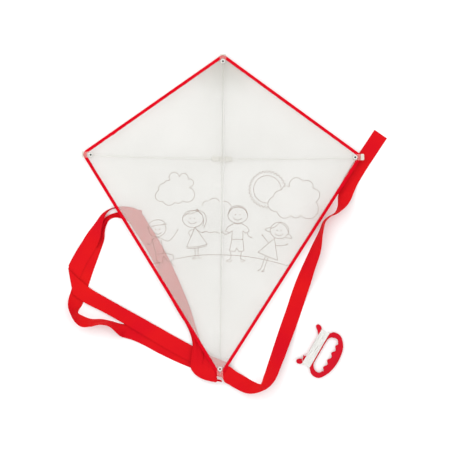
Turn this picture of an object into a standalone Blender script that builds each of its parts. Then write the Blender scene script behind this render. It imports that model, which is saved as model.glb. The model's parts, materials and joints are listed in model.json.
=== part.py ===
"""A child's diamond kite with two ribbon tails and a hand winder.

The kite lies face up. X runs across it, Y along the spine towards the nose and Z up from the
floor. The origin is on the flat back of the spar clip, straight under the crossing of the spars.
Every length is in metres.
"""

import math

import bmesh
import bpy
import numpy as np
from mathutils import Matrix, Vector

# Outline of the sail, measured over the edge binding, as if its corners were sharp
NOSE_Y = 0.2283
TAIL_Y = -0.4794
SIDE_X = 0.3059
SIDE_Y = 0.0097
NOSE_TURN = 0.012
SIDE_TURN = 0.012
TAIL_TURN = 0.0065

# Eyelets: the nose and tail ones are on the spine, and the side ones on the spreader
NOSE_EYELET_Y = 0.212
TAIL_EYELET_Y = -0.457
LEFT_EYELET_X = -0.2855
RIGHT_EYELET_X = 0.2895
SIDE_EYELET_Y = 0.006

# Spars
ROD_RADIUS = 0.0015
BORE_RADIUS = 0.00175

# Thin layers, and the gap between pieces that touch
GAP = 0.00025
FABRIC = 0.00025
TAPE = 0.00025
TAPE_WIDTH = 0.0065
RIBBON = 0.0003
RIBBON_WIDTH = 0.033
CUT_OVER = 0.002

# The wings fold along two lines beside the spine
HINGE_X = 0.0085

# Corner fitting, measured outwards from its eyelet
FITTING_ROUND = 0.0063
FITTING_HALF_WIDTH = 0.0068
FITTING_CORNER = 0.0025
FITTING_OUT = 0.0195
NOSE_FITTING_OUT = 0.016
TAIL_FITTING_OUT = 0.0222
FITTING_WEB = 0.002
WEB_HALF_WIDTH = 0.0045
LEAF = 0.0009
CHANNEL_START = 0.0039
CHANNEL_HALF = 0.0018
CHANNEL_WALL = 0.0012

# Eyelet and washer
BARREL_RADIUS = 0.0022
EYELET_HOLE = 0.0017
FLANGE_RADIUS = 0.0048
FLANGE = 0.0006
WASHER_RADIUS = 0.0034
WASHER = 0.0005

# Spar clip
CLIP_HALF_LENGTH = 0.022
CLIP_HALF_WIDTH = 0.0055
CLIP_HUB = 0.006
CLIP_FLOOR = 0.001

# Levels, from the floor up
SPREADER_Z = CLIP_FLOOR + BORE_RADIUS
SPINE_Z = SPREADER_Z + 2 * ROD_RADIUS + GAP
ROD_TOP = SPINE_Z + ROD_RADIUS
WASHER_Z = ROD_TOP + GAP
BACK_LEAF_Z = WASHER_Z + WASHER + GAP
SLOT_Z = BACK_LEAF_Z + LEAF
LOWER_RIBBON_Z = SLOT_Z + GAP
BACK_TAPE_Z = LOWER_RIBBON_Z + 2 * (RIBBON + GAP)
SAIL_Z = BACK_TAPE_Z + TAPE + GAP
FRONT_TAPE_Z = SAIL_Z + FABRIC + GAP
FRONT_LEAF_Z = FRONT_TAPE_Z + TAPE + GAP
FLANGE_Z = FRONT_LEAF_Z + LEAF + GAP
HINGE_Z = FRONT_TAPE_Z + TAPE + 0.0001

# Bridle thread on the front, and where it goes through the sail
BRIDLE_RADIUS = 0.00045
BRIDLE_HOLE = 0.0008
BRIDLE_X = 0.0023
BRIDLE_TOP_Y = 0.125
BRIDLE_LOW_Y = -0.235
BRIDLE_DRIFT = 0.0022

# Winder, in its own frame: X along the wound line, Y away from the grip
WINDER_AT = (0.208, -0.411)
WINDER_TURN = math.radians(60.5)
WINDER_THICK = 0.004
WOUND_HALF_LENGTH = 0.043
WOUND_HALF_WIDTH = 0.0094
WOUND_THICK = 0.0017
BAR_END = 0.0408
BAR_EDGE = 0.0097
LINE_RADIUS = 0.0003

STEPS_ROUND = 32
CORNER_STEPS = 8

# Ribbon stations in millimetres and degrees: x, y and z of the middle of the ribbon's lowest edge,
# the direction from its first edge to its second edge seen from above, how far the second edge is
# tilted up, and how much of the width is left where the ribbon is gathered.
LONG_TAIL = (
    (346, 58, 0.4, -34, 0, 1),
    (322, 21, 0.4, -33, 0, 1),
    (299, -15, 0.4, -33, 0, 1),
    (279, -50, 0.4, -31, 6, 1),
    (265, -86, 0.4, -38, 36, 1),
    (257, -105, 0.4, -46, 70, 1),
    (247, -117, 0.4, -60, 84, 1),
    (235, -123, 0.4, -62, 86, 1),
    (225, -132, 0.4, -40, 84, 1),
    (217, -155, 0.4, -18, 78, 1),
    (206, -195, 0.4, -22, 50, 1),
    (190, -238, 0.4, -22, 34, 1),
    (174, -285, 0.4, -20, 8, 1),
    (157, -338, 0.4, -18, 0, 1),
    (138, -392, 0.4, -18, 18, 1),
    (120, -443, 0.4, -18, 32, 1),
    (106, -479, 0.4, -14, 45, 1),
    (98, -491, 0.4, -30, 62, 1),
    (91, -496, 0.4, -72, 70, 1),
    (83, -498, 0.4, -104, 60, 1),
    (67, -497, 0.4, -118, 36, 1),
    (45, -487, 2.2, -122, 12, 1),
    (26, -476, 6.6, -118, 0, 1),
    (14, -467.6, 9.65, -105, 0, 1),
    (8.6, -464, 9.65, -97, 0, 0.82),
    (4.4, -461.6, 9.65, -96, 0, 0.78),
    (0, -460.6, 9.65, -98, 0, 0.82),
    (-14, -456.5, 9.65, -108, 0, 0.92),
    (-23, -452.6, 7.0, -111, 0, 0.94),
    (-38, -447.5, 2.8, -112, 0, 1),
    (-60, -440, 0.4, -113, 0, 1),
    (-124, -412, 0.4, -116, 0, 1),
    (-170, -388, 0.4, -119, 3, 1),
    (-190, -380, 0.4, -120, 5, 1),
    (-203, -376.6, 0.4, -121, 8, 1),
    (-215, -373, 0.4, -120, 42, 1),
    (-240, -360.5, 0.4, -112, 72, 1),
    (-258, -357, 0.4, -94, 72, 1),
    (-283, -359, 0.4, -87, 62, 1),
    (-301, -356, 0.4, -98, 50, 1),
    (-312, -348, 0.4, -122, 62, 1),
    (-317, -340, 0.4, -166, 68, 1),
    (-319, -329, 0.4, -192, 50, 1),
    (-316, -313, 0.4, -198, 14, 1),
    (-312, -298, 0.4, -198, 0, 1),
    (-306, -279, 0.4, -199, 0, 1),
    (-294, -241, 0.4, -199, 0, 1),
    (-282, -207, 0.4, -198, 0, 1),
    (-270, -172, 0.4, -198, 0, 0.95),
    (-259, -147, 0.4, -222, 0, 0.5),
    (-247, -131, 0.4, -240, 0, 0.3),
    (-233, -125, 0.4, -262, 0, 0.3),
    (-215, -125, 0.4, -270, 0, 0.5),
    (-193, -127, 0.4, -271, 0, 0.9),
    (-174, -130, 0.4, -272, 0, 1),
)
LOOPED_TAIL = (
    (9, -456.5, 10.2, -110, 0, 0.94),
    (0, -453.2, 10.25, -110, 0, 0.94),
    (-8, -450.1, 10.3, -111, 0, 0.94),
    (-15, -447.5, 10.3, -112, 0, 0.94),
    (-24, -444, 8.3, -114, 0, 0.96),
    (-38, -437.5, 4.6, -117, 0, 1),
    (-60, -427, 2.8, -118, 0, 1),
    (-105, -403, 2.6, -118, 0, 1),
    (-179, -361, 4, -118, 0, 0.94),
    (-254, -320, 3.4, -119, 0, 0.93),
    (-288, -302, 3.4, -124, 0, 1),
    (-310, -286, 3.6, -108, 0, 1),
    (-323, -275, 3.6, -86, 0, 1),
    (-327, -271, 3.2, -79, 0, 1),
    (-328.4, -268, 2.4, -79, 0, 1),
    (-327, -265, 1.6, -79, 0, 1),
    (-324, -258, 1.3, -68, 0, 1),
    (-317, -241, 1.3, -40, 0, 1),
    (-306, -219, 1.3, -30, 0, 1),
    (-289, -191, 1.3, -31, 0, 1),
    (-276, -167, 1.3, -32, 22, 0.95),
    (-266, -143, 1.5, -27, 34, 0.6),
    (-258, -127, 2, -36, 30, 0.38),
    (-247, -115, 2.6, -58, 20, 0.15),
    (-233, -109, 3.2, -72, 10, 0.09),
    (-216, -111, 3.2, -102, 4, 0.35),
    (-194, -124, 2.6, -125, 0, 0.95),
    (-171, -155, 2, -145, 0, 1),
    (-134, -216, 2, -153, 0, 1),
    (-99, -290, 2.4, -158, 0, 1),
    (-79.5, -330, 2.8, -160, 0, 0.83),
    (-64.5, -362, 3.4, -162, 4, 0.55),
    (-51.5, -403, 4.4, -170, 5, 0.55),
    (-50, -433, 5.5, -166, 4, 0.8),
    (-49, -455, 5.6, -142, 0, 0.84),
    (-38, -463.5, 6.8, -112, 0, 0.9),
    (-27, -467.5, 9.6, -101, 0, 0.9),
    (-17, -471.5, 10.9, -98, 0, 0.74),
    (-9, -477.2, 10.9, -92, 0, 0.4),
    (-5.2, -481.6, 10.9, -85, 0, 0.11),
    (-1, -482.2, 10.9, -80, 0, 0.12),
    (4, -483.4, 10.9, -72, 0, 0.12),
)
RIBBON_STEP = 0.0075
RIBBON_FLOOR = 0.0004

# Winder outline in millimetres, from the grip's shoulder round each prong and back
GRIP_OUTER = ((43, 9.7), (50.3, 17), (51.6, 31), (39, 46.5), (1, 56.7), (-37, 49.2), (-53, 37),
              (-53.6, 21), (-43.3, 9.7))
LOCK_PRONG = ((-40.8, -9.7), (-44, -10.4), (-47.6, -15.5), (-46.2, -22), (-42, -23.4),
              (-37.6, -20.6), (-35.2, -16), (-33, -13.2), (-30, -13.6), (-25.4, -16.4), (-26.2, -12),
              (-23.5, -9.2))
PLAIN_PRONG = ((28.5, -9.2), (31.5, -12.2), (35.8, -16.2), (40.2, -21.8), (44.4, -24), (48.4, -21.6),
               (48.4, -15.8), (45.4, -10.8), (40.8, -9.7))
GRIP_INNER_ENDS = (((34, 37.2), (40.2, 32.5), (40.6, 25), (36.5, 16.5), (29, 12.4)),
                   ((-30, 12.4), (-38, 17), (-43, 26), (-42, 33.5), (-36, 37.2)))
FINGER_PERIOD = 17.5
FINGER_DEPTH = 2.6
FINGER_LINE = 37.5


def clear_scene():
    """Remove every object that the file opens with."""
    for old in list(bpy.data.objects):
        bpy.data.objects.remove(old)


def new_collection(name):
    """A collection under the scene's own."""
    group = bpy.data.collections.new(name)
    bpy.context.scene.collection.children.link(group)
    return group


clear_scene()
KITE = new_collection("diamond_kite")
CUTTERS = new_collection("cutters")


def plain_material(name, colour, roughness, metallic=0.0):
    """A Principled material of one colour."""
    look = bpy.data.materials.new(name)
    look.use_nodes = True
    shader = look.node_tree.nodes["Principled BSDF"]
    shader.inputs["Base Color"].default_value = (*colour, 1)
    shader.inputs["Roughness"].default_value = roughness
    shader.inputs["Metallic"].default_value = metallic
    return look


FABRIC_WHITE = plain_material("sail_fabric", (0.86, 0.86, 0.84), 0.7)
TAPE_RED = plain_material("binding_tape", (0.78, 0.01, 0.03), 0.6)
RIBBON_RED = plain_material("tail_ribbon", (0.74, 0.01, 0.02), 0.55)
ROD_GREY = plain_material("spar_rod", (0.62, 0.62, 0.58), 0.4)
FITTING_CREAM = plain_material("fitting_plastic", (0.84, 0.80, 0.72), 0.35)
EYELET_WHITE = plain_material("eyelet_plastic", (0.9, 0.9, 0.88), 0.3)
THREAD_WHITE = plain_material("line_thread", (0.88, 0.87, 0.83), 0.8)
WINDER_RED = plain_material("winder_plastic", (0.70, 0.01, 0.05), 0.3)


def add_piece(name, data, look):
    """Put a mesh or curve in the kite's collection under its node name."""
    data.materials.clear()
    data.materials.append(look)
    piece = bpy.data.objects.new(name, data)
    KITE.objects.link(piece)
    return piece


def add_cutter(name, data):
    """Put a mesh in the cutters' collection, where it is only a tool."""
    tool = bpy.data.objects.new(name, data)
    tool.hide_render = True
    tool.display_type = "WIRE"
    CUTTERS.objects.link(tool)
    return tool


def welded_mesh(carrier):
    """The evaluated mesh of an object that is only a step on the way, with its seams welded."""
    bpy.context.view_layer.update()
    evaluated = carrier.evaluated_get(bpy.context.evaluated_depsgraph_get())
    mesh = bpy.data.meshes.new_from_object(evaluated)
    mesh.transform(carrier.matrix_world)
    bpy.data.objects.remove(carrier)
    solid = bmesh.new()
    solid.from_mesh(mesh)
    bmesh.ops.remove_doubles(solid, verts=solid.verts, dist=1e-6)
    bmesh.ops.recalc_face_normals(solid, faces=solid.faces)
    solid.to_mesh(mesh)
    solid.free()
    return mesh


def flat_mesh(loops, low, high):
    """A flat piece: closed loops of (x, y), the first one outside and the others holes."""
    outline = bpy.data.curves.new("outline", "CURVE")
    outline.dimensions = "2D"
    outline.fill_mode = "BOTH"
    outline.extrude = (high - low) / 2
    for loop in loops:
        spline = outline.splines.new("POLY")
        spline.points.add(len(loop) - 1)
        for point, (x, y) in zip(spline.points, loop):
            point.co = (x, y, 0, 1)
        spline.use_cyclic_u = True
    carrier = bpy.data.objects.new("outline", outline)
    carrier.location.z = (low + high) / 2
    KITE.objects.link(carrier)
    return welded_mesh(carrier)


def box_mesh(low, high):
    """A box between two corners."""
    low = Vector(low)
    high = Vector(high)
    mesh = bpy.data.meshes.new("box")
    solid = bmesh.new()
    bmesh.ops.create_cube(solid, size=1)
    bmesh.ops.scale(solid, vec=high - low, verts=solid.verts)
    bmesh.ops.translate(solid, vec=(low + high) / 2, verts=solid.verts)
    solid.to_mesh(mesh)
    solid.free()
    return mesh


def cylinder_mesh(radius, start, end):
    """A round bar between two points."""
    start = Vector(start)
    end = Vector(end)
    mesh = bpy.data.meshes.new("cylinder")
    solid = bmesh.new()
    bmesh.ops.create_cone(solid, cap_ends=True, segments=STEPS_ROUND, radius1=radius,
                          radius2=radius, depth=(end - start).length)
    turn = Vector((0, 0, 1)).rotation_difference(end - start).to_matrix().to_4x4()
    bmesh.ops.transform(solid, matrix=Matrix.Translation((start + end) / 2) @ turn,
                        verts=solid.verts)
    solid.to_mesh(mesh)
    solid.free()
    return mesh


def cut(piece, *tools):
    """Take each tool away from the piece."""
    for tool in tools:
        step = piece.modifiers.new(tool.name, "BOOLEAN")
        step.operation = "DIFFERENCE"
        step.solver = "EXACT"
        step.object = tool


def turned_piece(name, profile, look):
    """A closed profile of (radius, height) turned about Z."""
    mesh = bpy.data.meshes.new(name)
    solid = bmesh.new()
    corners = [solid.verts.new((radius, 0, height)) for radius, height in profile]
    for first, second in zip(corners, corners[1:] + corners[:1]):
        solid.edges.new((first, second))
    solid.to_mesh(mesh)
    solid.free()
    piece = add_piece(name, mesh, look)
    screw = piece.modifiers.new("turn", "SCREW")
    screw.steps = STEPS_ROUND
    screw.render_steps = STEPS_ROUND
    screw.use_merge_vertices = True
    screw.merge_threshold = 1e-6
    return piece


def arc(centre, radius, start, end, steps):
    """Points on an arc, with its angles in degrees."""
    turns = np.radians(np.linspace(start, end, steps + 1))
    return [(centre[0] + radius * math.cos(a), centre[1] + radius * math.sin(a)) for a in turns]


def smooth_rows(rows, step):
    """Rows of values on one smooth curve through the given rows, about a step apart.

    The first three columns are a place, and set the distance along the curve.
    """
    rows = np.array(rows, dtype=float)
    spans = np.linalg.norm(np.diff(rows[:, :3], axis=0), axis=1)
    slopes = np.diff(rows, axis=0) / spans[:, None]
    tangents = np.empty_like(rows)
    tangents[0] = slopes[0]
    tangents[-1] = slopes[-1]
    share = (spans[:-1] / (spans[:-1] + spans[1:]))[:, None]
    tangents[1:-1] = slopes[1:] * share + slopes[:-1] * (1 - share)
    result = []
    for i, span in enumerate(spans):
        count = max(1, round(span / step))
        for t in np.arange(count) / count:
            result.append(rows[i] * (2 * t**3 - 3 * t**2 + 1)
                          + rows[i + 1] * (3 * t**2 - 2 * t**3)
                          + tangents[i] * span * (t**3 - 2 * t**2 + t)
                          + tangents[i + 1] * span * (t**3 - t**2))
    result.append(rows[-1])
    return np.array(result)


def kite_corners(inset):
    """Nose, side and tail points of the outline moved in by the inset, on the +X side."""
    upper = math.atan2(NOSE_Y - SIDE_Y, SIDE_X)
    lower = math.atan2(SIDE_Y - TAIL_Y, SIDE_X)
    nose = NOSE_Y - inset / math.cos(upper)
    tail = TAIL_Y + inset / math.cos(lower)
    side_x = (nose - tail) / (math.tan(upper) + math.tan(lower))
    side_y = nose - side_x * math.tan(upper)
    return (0, nose), (side_x, side_y), (0, tail)


def height_at(x, inset):
    """The y of the upper and of the lower edge at a distance x from the spine."""
    nose, side, tail = kite_corners(inset)
    share = x / side[0]
    return nose[1] + (side[1] - nose[1]) * share, tail[1] + (side[1] - tail[1]) * share


def turned_corner(before, corner, after, radius):
    """Points that turn a corner on an arc, or the corner itself where the radius is nothing."""
    if radius <= 0:
        return [corner]
    corner = Vector(corner)
    first = (Vector(before) - corner).normalized()
    second = (Vector(after) - corner).normalized()
    half = first.angle(second) / 2
    centre = corner + (first + second).normalized() * (radius / math.sin(half))
    start = corner + first * (radius / math.tan(half)) - centre
    end = corner + second * (radius / math.tan(half)) - centre
    sweep = start.angle_signed(end)
    points = []
    for share in np.linspace(0, 1, CORNER_STEPS + 1):
        arm = start.copy()
        arm.rotate(Matrix.Rotation(-sweep * share, 2))
        points.append(tuple(centre + arm))
    return points


def wing_loop(side, inset, inner_x):
    """Outline of the wing on one side (-1 left, 1 right), from inner_x outwards."""
    top, bottom = height_at(inner_x, inset)
    corner = kite_corners(inset)[1]
    tip = turned_corner((inner_x, top), corner, (inner_x, bottom), SIDE_TURN - inset)
    return [(side * x, y) for x, y in [(inner_x, top), *tip, (inner_x, bottom)]]


def strip_ends(inset, outer_x):
    """The nose and the tail end of the middle strip, each from one side to the other."""
    nose, _, tail = kite_corners(inset)
    top, bottom = height_at(outer_x, inset)
    front = turned_corner((-outer_x, top), nose, (outer_x, top), NOSE_TURN - inset)
    back = turned_corner((outer_x, bottom), tail, (-outer_x, bottom), TAIL_TURN - inset)
    return ([(-outer_x, top), *front, (outer_x, top)], [(outer_x, bottom), *back, (-outer_x, bottom)])


def strip_loop(inset, outer_x):
    """Outline of the middle strip, out to outer_x on both sides."""
    front, back = strip_ends(inset, outer_x)
    return front + back


def tape_cutters(name, pocket_loop, inner_loop):
    """The sail's pocket inside the folded tape, and the opening inside its inner edge."""
    pocket = add_cutter(name + "_pocket", flat_mesh([pocket_loop], BACK_TAPE_Z + TAPE, FRONT_TAPE_Z))
    opening = add_cutter(name + "_opening", flat_mesh([inner_loop], BACK_TAPE_Z - CUT_OVER,
                                                      FRONT_TAPE_Z + TAPE + CUT_OVER))
    return pocket, opening


def sail_and_binding():
    """Three panels of fabric, and the tape folded over their edges."""
    fabric_inset = TAPE + GAP
    wing_x = HINGE_X + GAP / 2
    strip_x = HINGE_X - GAP / 2
    for side, word in ((-1, "left"), (1, "right")):
        panel = flat_mesh([wing_loop(side, fabric_inset, wing_x)], SAIL_Z, SAIL_Z + FABRIC)
        sail = add_piece("sail_" + word, panel, FABRIC_WHITE)
        eyelet_x = LEFT_EYELET_X if side < 0 else RIGHT_EYELET_X
        drill = eyelet_drill("sail_" + word, eyelet_x, SIDE_EYELET_Y)
        cut(sail, drill)
        band = flat_mesh([wing_loop(side, 0, wing_x)], BACK_TAPE_Z, FRONT_TAPE_Z + TAPE)
        binding = add_piece("binding_" + word, band, TAPE_RED)
        cut(binding, drill, *tape_cutters("binding_" + word, wing_loop(side, TAPE, wing_x - CUT_OVER),
                                   wing_loop(side, TAPE_WIDTH, wing_x - CUT_OVER)))
    middle = flat_mesh([strip_loop(fabric_inset, strip_x)], SAIL_Z, SAIL_Z + FABRIC)
    sail = add_piece("sail_center", middle, FABRIC_WHITE)
    cut(sail, eyelet_drill("sail_nose", 0, NOSE_EYELET_Y), eyelet_drill("sail_tail", 0, TAIL_EYELET_Y))
    for y, word in ((BRIDLE_TOP_Y, "upper"), (BRIDLE_LOW_Y, "lower")):
        hole = cylinder_mesh(BRIDLE_HOLE, (BRIDLE_X, y, SAIL_Z - CUT_OVER),
                             (BRIDLE_X, y, SAIL_Z + CUT_OVER))
        cut(sail, add_cutter("bridle_hole_" + word, hole))
    pocket, opening = tape_cutters("binding_middle", strip_loop(TAPE, strip_x + CUT_OVER),
                                   strip_loop(TAPE_WIDTH, strip_x + CUT_OVER))
    front, back = strip_ends(0, strip_x)
    for end, word in ((front + [(strip_x, 0), (-strip_x, 0)], "nose"),
                      (back + [(-strip_x, 0), (strip_x, 0)], "tail")):
        band = flat_mesh([end], BACK_TAPE_Z, FRONT_TAPE_Z + TAPE)
        cut(add_piece("binding_" + word, band, TAPE_RED), pocket, opening)


def eyelet_drill(name, x, y):
    """A cutter for the hole round an eyelet's barrel, through everything it holds."""
    drill = cylinder_mesh(BARREL_RADIUS + GAP, (x, y, WASHER_Z - CUT_OVER),
                          (x, y, FLANGE_Z + CUT_OVER))
    return add_cutter(name + "_drill", drill)


def fitting_mesh(reach):
    """A corner fitting along +X: two leaves round the sail and an open-backed rod channel."""
    web_x = reach - FITTING_WEB
    corner_x = reach - FITTING_CORNER
    corner_y = FITTING_HALF_WIDTH - FITTING_CORNER
    loop = arc((0, 0), FITTING_ROUND, 100, 260, 16)
    loop += arc((corner_x, -corner_y), FITTING_CORNER, -90, 0, 5)
    loop += arc((corner_x, corner_y), FITTING_CORNER, 0, 90, 5)
    bottom = SPINE_Z - ROD_RADIUS
    body = bpy.data.objects.new("fitting", flat_mesh([loop], bottom, FRONT_LEAF_Z + LEAF))
    KITE.objects.link(body)
    far = reach + CUT_OVER
    wide = FITTING_HALF_WIDTH + CUT_OVER
    low = bottom - CUT_OVER
    cavities = [("slot", (-wide, -wide, SLOT_Z), (web_x, wide, FRONT_LEAF_Z)),
                ("under", (-wide, -wide, low), (CHANNEL_START, wide, BACK_LEAF_Z)),
                ("channel", (0, -CHANNEL_HALF, low), (web_x, CHANNEL_HALF, WASHER_Z))]
    for side in (-1, 1):
        inner = side * (CHANNEL_HALF + CHANNEL_WALL)
        cheek = side * WEB_HALF_WIDTH
        outer = side * wide
        cavities.append((f"flank_{side}", (0, min(inner, outer), low),
                         (far, max(inner, outer), BACK_LEAF_Z)))
        cavities.append((f"cheek_{side}", (web_x - CUT_OVER, min(cheek, outer), SLOT_Z),
                         (far, max(cheek, outer), FRONT_LEAF_Z)))
    tools = [add_cutter("fitting_" + word, box_mesh(a, b)) for word, a, b in cavities]
    tools.append(eyelet_drill("fitting", 0, 0))
    cut(body, *tools)
    return welded_mesh(body)


def corner_hardware():
    """A fitting, an eyelet and a washer at each corner."""
    places = {"nose": (0, NOSE_EYELET_Y, math.pi / 2),
              "left": (LEFT_EYELET_X, SIDE_EYELET_Y, math.pi + 2 * SIDE_EYELET_Y / LEFT_EYELET_X),
              "right": (RIGHT_EYELET_X, SIDE_EYELET_Y, 2 * SIDE_EYELET_Y / RIGHT_EYELET_X),
              "tail": (0, TAIL_EYELET_Y, -math.pi / 2)}
    eyelet_profile = ((FLANGE_RADIUS, FLANGE_Z + FLANGE), (FLANGE_RADIUS, FLANGE_Z),
                      (BARREL_RADIUS, FLANGE_Z), (BARREL_RADIUS, WASHER_Z),
                      (EYELET_HOLE, WASHER_Z), (EYELET_HOLE, FLANGE_Z + FLANGE))
    washer_profile = ((WASHER_RADIUS, WASHER_Z + WASHER), (WASHER_RADIUS, WASHER_Z),
                      (BARREL_RADIUS + GAP, WASHER_Z), (BARREL_RADIUS + GAP, WASHER_Z + WASHER))
    shared = fitting_mesh(FITTING_OUT)
    own = {"nose": fitting_mesh(NOSE_FITTING_OUT), "tail": fitting_mesh(TAIL_FITTING_OUT)}
    for word, (x, y, turn) in places.items():
        fitting = add_piece("fitting_" + word, own.get(word, shared), FITTING_CREAM)
        eyelet = turned_piece("eyelet_" + word, eyelet_profile, EYELET_WHITE)
        washer = turned_piece("washer_" + word, washer_profile, EYELET_WHITE)
        for piece in (fitting, eyelet, washer):
            piece.location = (x, y, 0)
            piece.rotation_euler.z = turn


def tube(name, points, radius, sides, look):
    """A round bar, rod or thread along a line of points."""
    curve = bpy.data.curves.new(name, "CURVE")
    curve.dimensions = "3D"
    curve.bevel_depth = radius
    curve.bevel_resolution = sides
    curve.use_fill_caps = True
    spline = curve.splines.new("POLY")
    spline.points.add(len(points) - 1)
    for target, point in zip(spline.points, points):
        target.co = (*point, 1)
    return add_piece(name, curve, look)


def spars():
    """The straight spine, the bowed spreader behind it, and the clip that holds them."""
    web_gap = FITTING_OUT - FITTING_WEB - 2 * GAP
    nose = NOSE_EYELET_Y + NOSE_FITTING_OUT - FITTING_WEB - 2 * GAP
    tail = TAIL_EYELET_Y - (TAIL_FITTING_OUT - FITTING_WEB - 2 * GAP)
    add_piece("spine_rod", cylinder_mesh(ROD_RADIUS, (0, tail, SPINE_Z), (0, nose, SPINE_Z)), ROD_GREY)
    bowed = []
    for share in np.linspace(-1, 1, 41):
        eyelet_x = RIGHT_EYELET_X if share > 0 else LEFT_EYELET_X
        x = share * (abs(eyelet_x) + web_gap)
        bowed.append((x, SIDE_EYELET_Y * (x / eyelet_x) ** 2,
                      SPREADER_Z + (SPINE_Z - SPREADER_Z) * share**2))
    tube("spreader_rod", bowed, ROD_RADIUS, 4, ROD_GREY)
    shoulder = SPREADER_Z + BORE_RADIUS + 0.0006
    top = SPINE_Z + BORE_RADIUS + CLIP_FLOOR
    half = [(CLIP_HALF_LENGTH - 0.0004, 0), (CLIP_HALF_LENGTH, 0.0004),
            (CLIP_HALF_LENGTH, shoulder - 0.001), (CLIP_HALF_LENGTH - 0.001, shoulder),
            (CLIP_HUB + 0.002, shoulder), (CLIP_HUB, shoulder + 0.0015), (CLIP_HUB - 0.0008, top)]
    profile = half + [(-x, z) for x, z in reversed(half)]
    mesh = flat_mesh([profile], -CLIP_HALF_WIDTH, CLIP_HALF_WIDTH)
    mesh.transform(Matrix.Rotation(math.pi / 2, 4, "X"))
    clip = add_piece("spar_clip", mesh, FITTING_CREAM)
    along = CLIP_HALF_LENGTH + CUT_OVER
    cut(clip,
        add_cutter("spreader_bore", cylinder_mesh(BORE_RADIUS, (-along, 0, SPREADER_Z),
                                                  (along, 0, SPREADER_Z))),
        add_cutter("spine_bore", cylinder_mesh(BORE_RADIUS, (0, -along, SPINE_Z),
                                               (0, along, SPINE_Z))))


def ribbon(name, stations):
    """A ribbon through its stations, as a strip of rungs that is given its thickness."""
    scale = np.array((0.001, 0.001, 0.001, 1, 1, 1))
    rows = smooth_rows(np.array(stations) * scale, RIBBON_STEP)
    rows[:, 2] = np.maximum(rows[:, 2], RIBBON_FLOOR)
    middle = rows[:, :3]
    travel = np.gradient(middle, axis=0)
    travel /= np.linalg.norm(travel, axis=1)[:, None]
    course = np.radians(rows[:, 3])
    tilt = np.radians(rows[:, 4])
    rung = np.stack((np.cos(course) * np.cos(tilt), np.sin(course) * np.cos(tilt), np.sin(tilt)), 1)
    skew = np.linalg.norm(np.cross(rung, travel), axis=1)
    half = RIBBON_WIDTH / 2 * rows[:, 5] / np.clip(skew, 0.62, 1)
    raised = middle + np.outer(half * np.abs(np.sin(tilt)) + RIBBON / 2, (0, 0, 1))
    mesh = bpy.data.meshes.new(name)
    strip = bmesh.new()
    last = None
    for centre, reach in zip(raised, rung * half[:, None]):
        pair = (strip.verts.new(centre - reach), strip.verts.new(centre + reach))
        if last:
            strip.faces.new((last[0], last[1], pair[1], pair[0]))
        last = pair
    strip.to_mesh(mesh)
    strip.free()
    piece = add_piece(name, mesh, RIBBON_RED)
    thick = piece.modifiers.new("thickness", "SOLIDIFY")
    thick.thickness = RIBBON
    thick.offset = 0
    cut(piece, eyelet_drill(name, 0, TAIL_EYELET_Y))


def bridle():
    """The thread that joins the two tow points, lying along the front of the sail."""
    lying = SAIL_Z + FABRIC + GAP + BRIDLE_RADIUS
    arch = ((0, SPINE_Z - lying), (0, -0.0006), (0.0004, 0.0003), (0.0016, 0.0009),
            (0.0036, 0.0007), (0.0062, 0.0003), (0.009, 0.0001), (0.013, 0.0001))
    rows = [(BRIDLE_X, BRIDLE_TOP_Y - along, lying + rise) for along, rise in arch]
    for share in (0.2, 0.4, 0.6, 0.8):
        y = BRIDLE_TOP_Y + (BRIDLE_LOW_Y - BRIDLE_TOP_Y) * share
        rows.append((BRIDLE_X + BRIDLE_DRIFT * math.sin(math.pi * share), y, lying + 0.0001))
    rows += [(BRIDLE_X, BRIDLE_LOW_Y + along, lying + rise) for along, rise in reversed(arch)]
    tube("bridle_thread", smooth_rows(rows, 0.006), BRIDLE_RADIUS, 2, THREAD_WHITE)


def smooth_loop_part(points):
    """A smooth outline through a few points given in millimetres."""
    rows = [(x / 1000, y / 1000, 0) for x, y in points]
    return [(x, y) for x, y, _ in smooth_rows(rows, 0.0025)]


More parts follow.
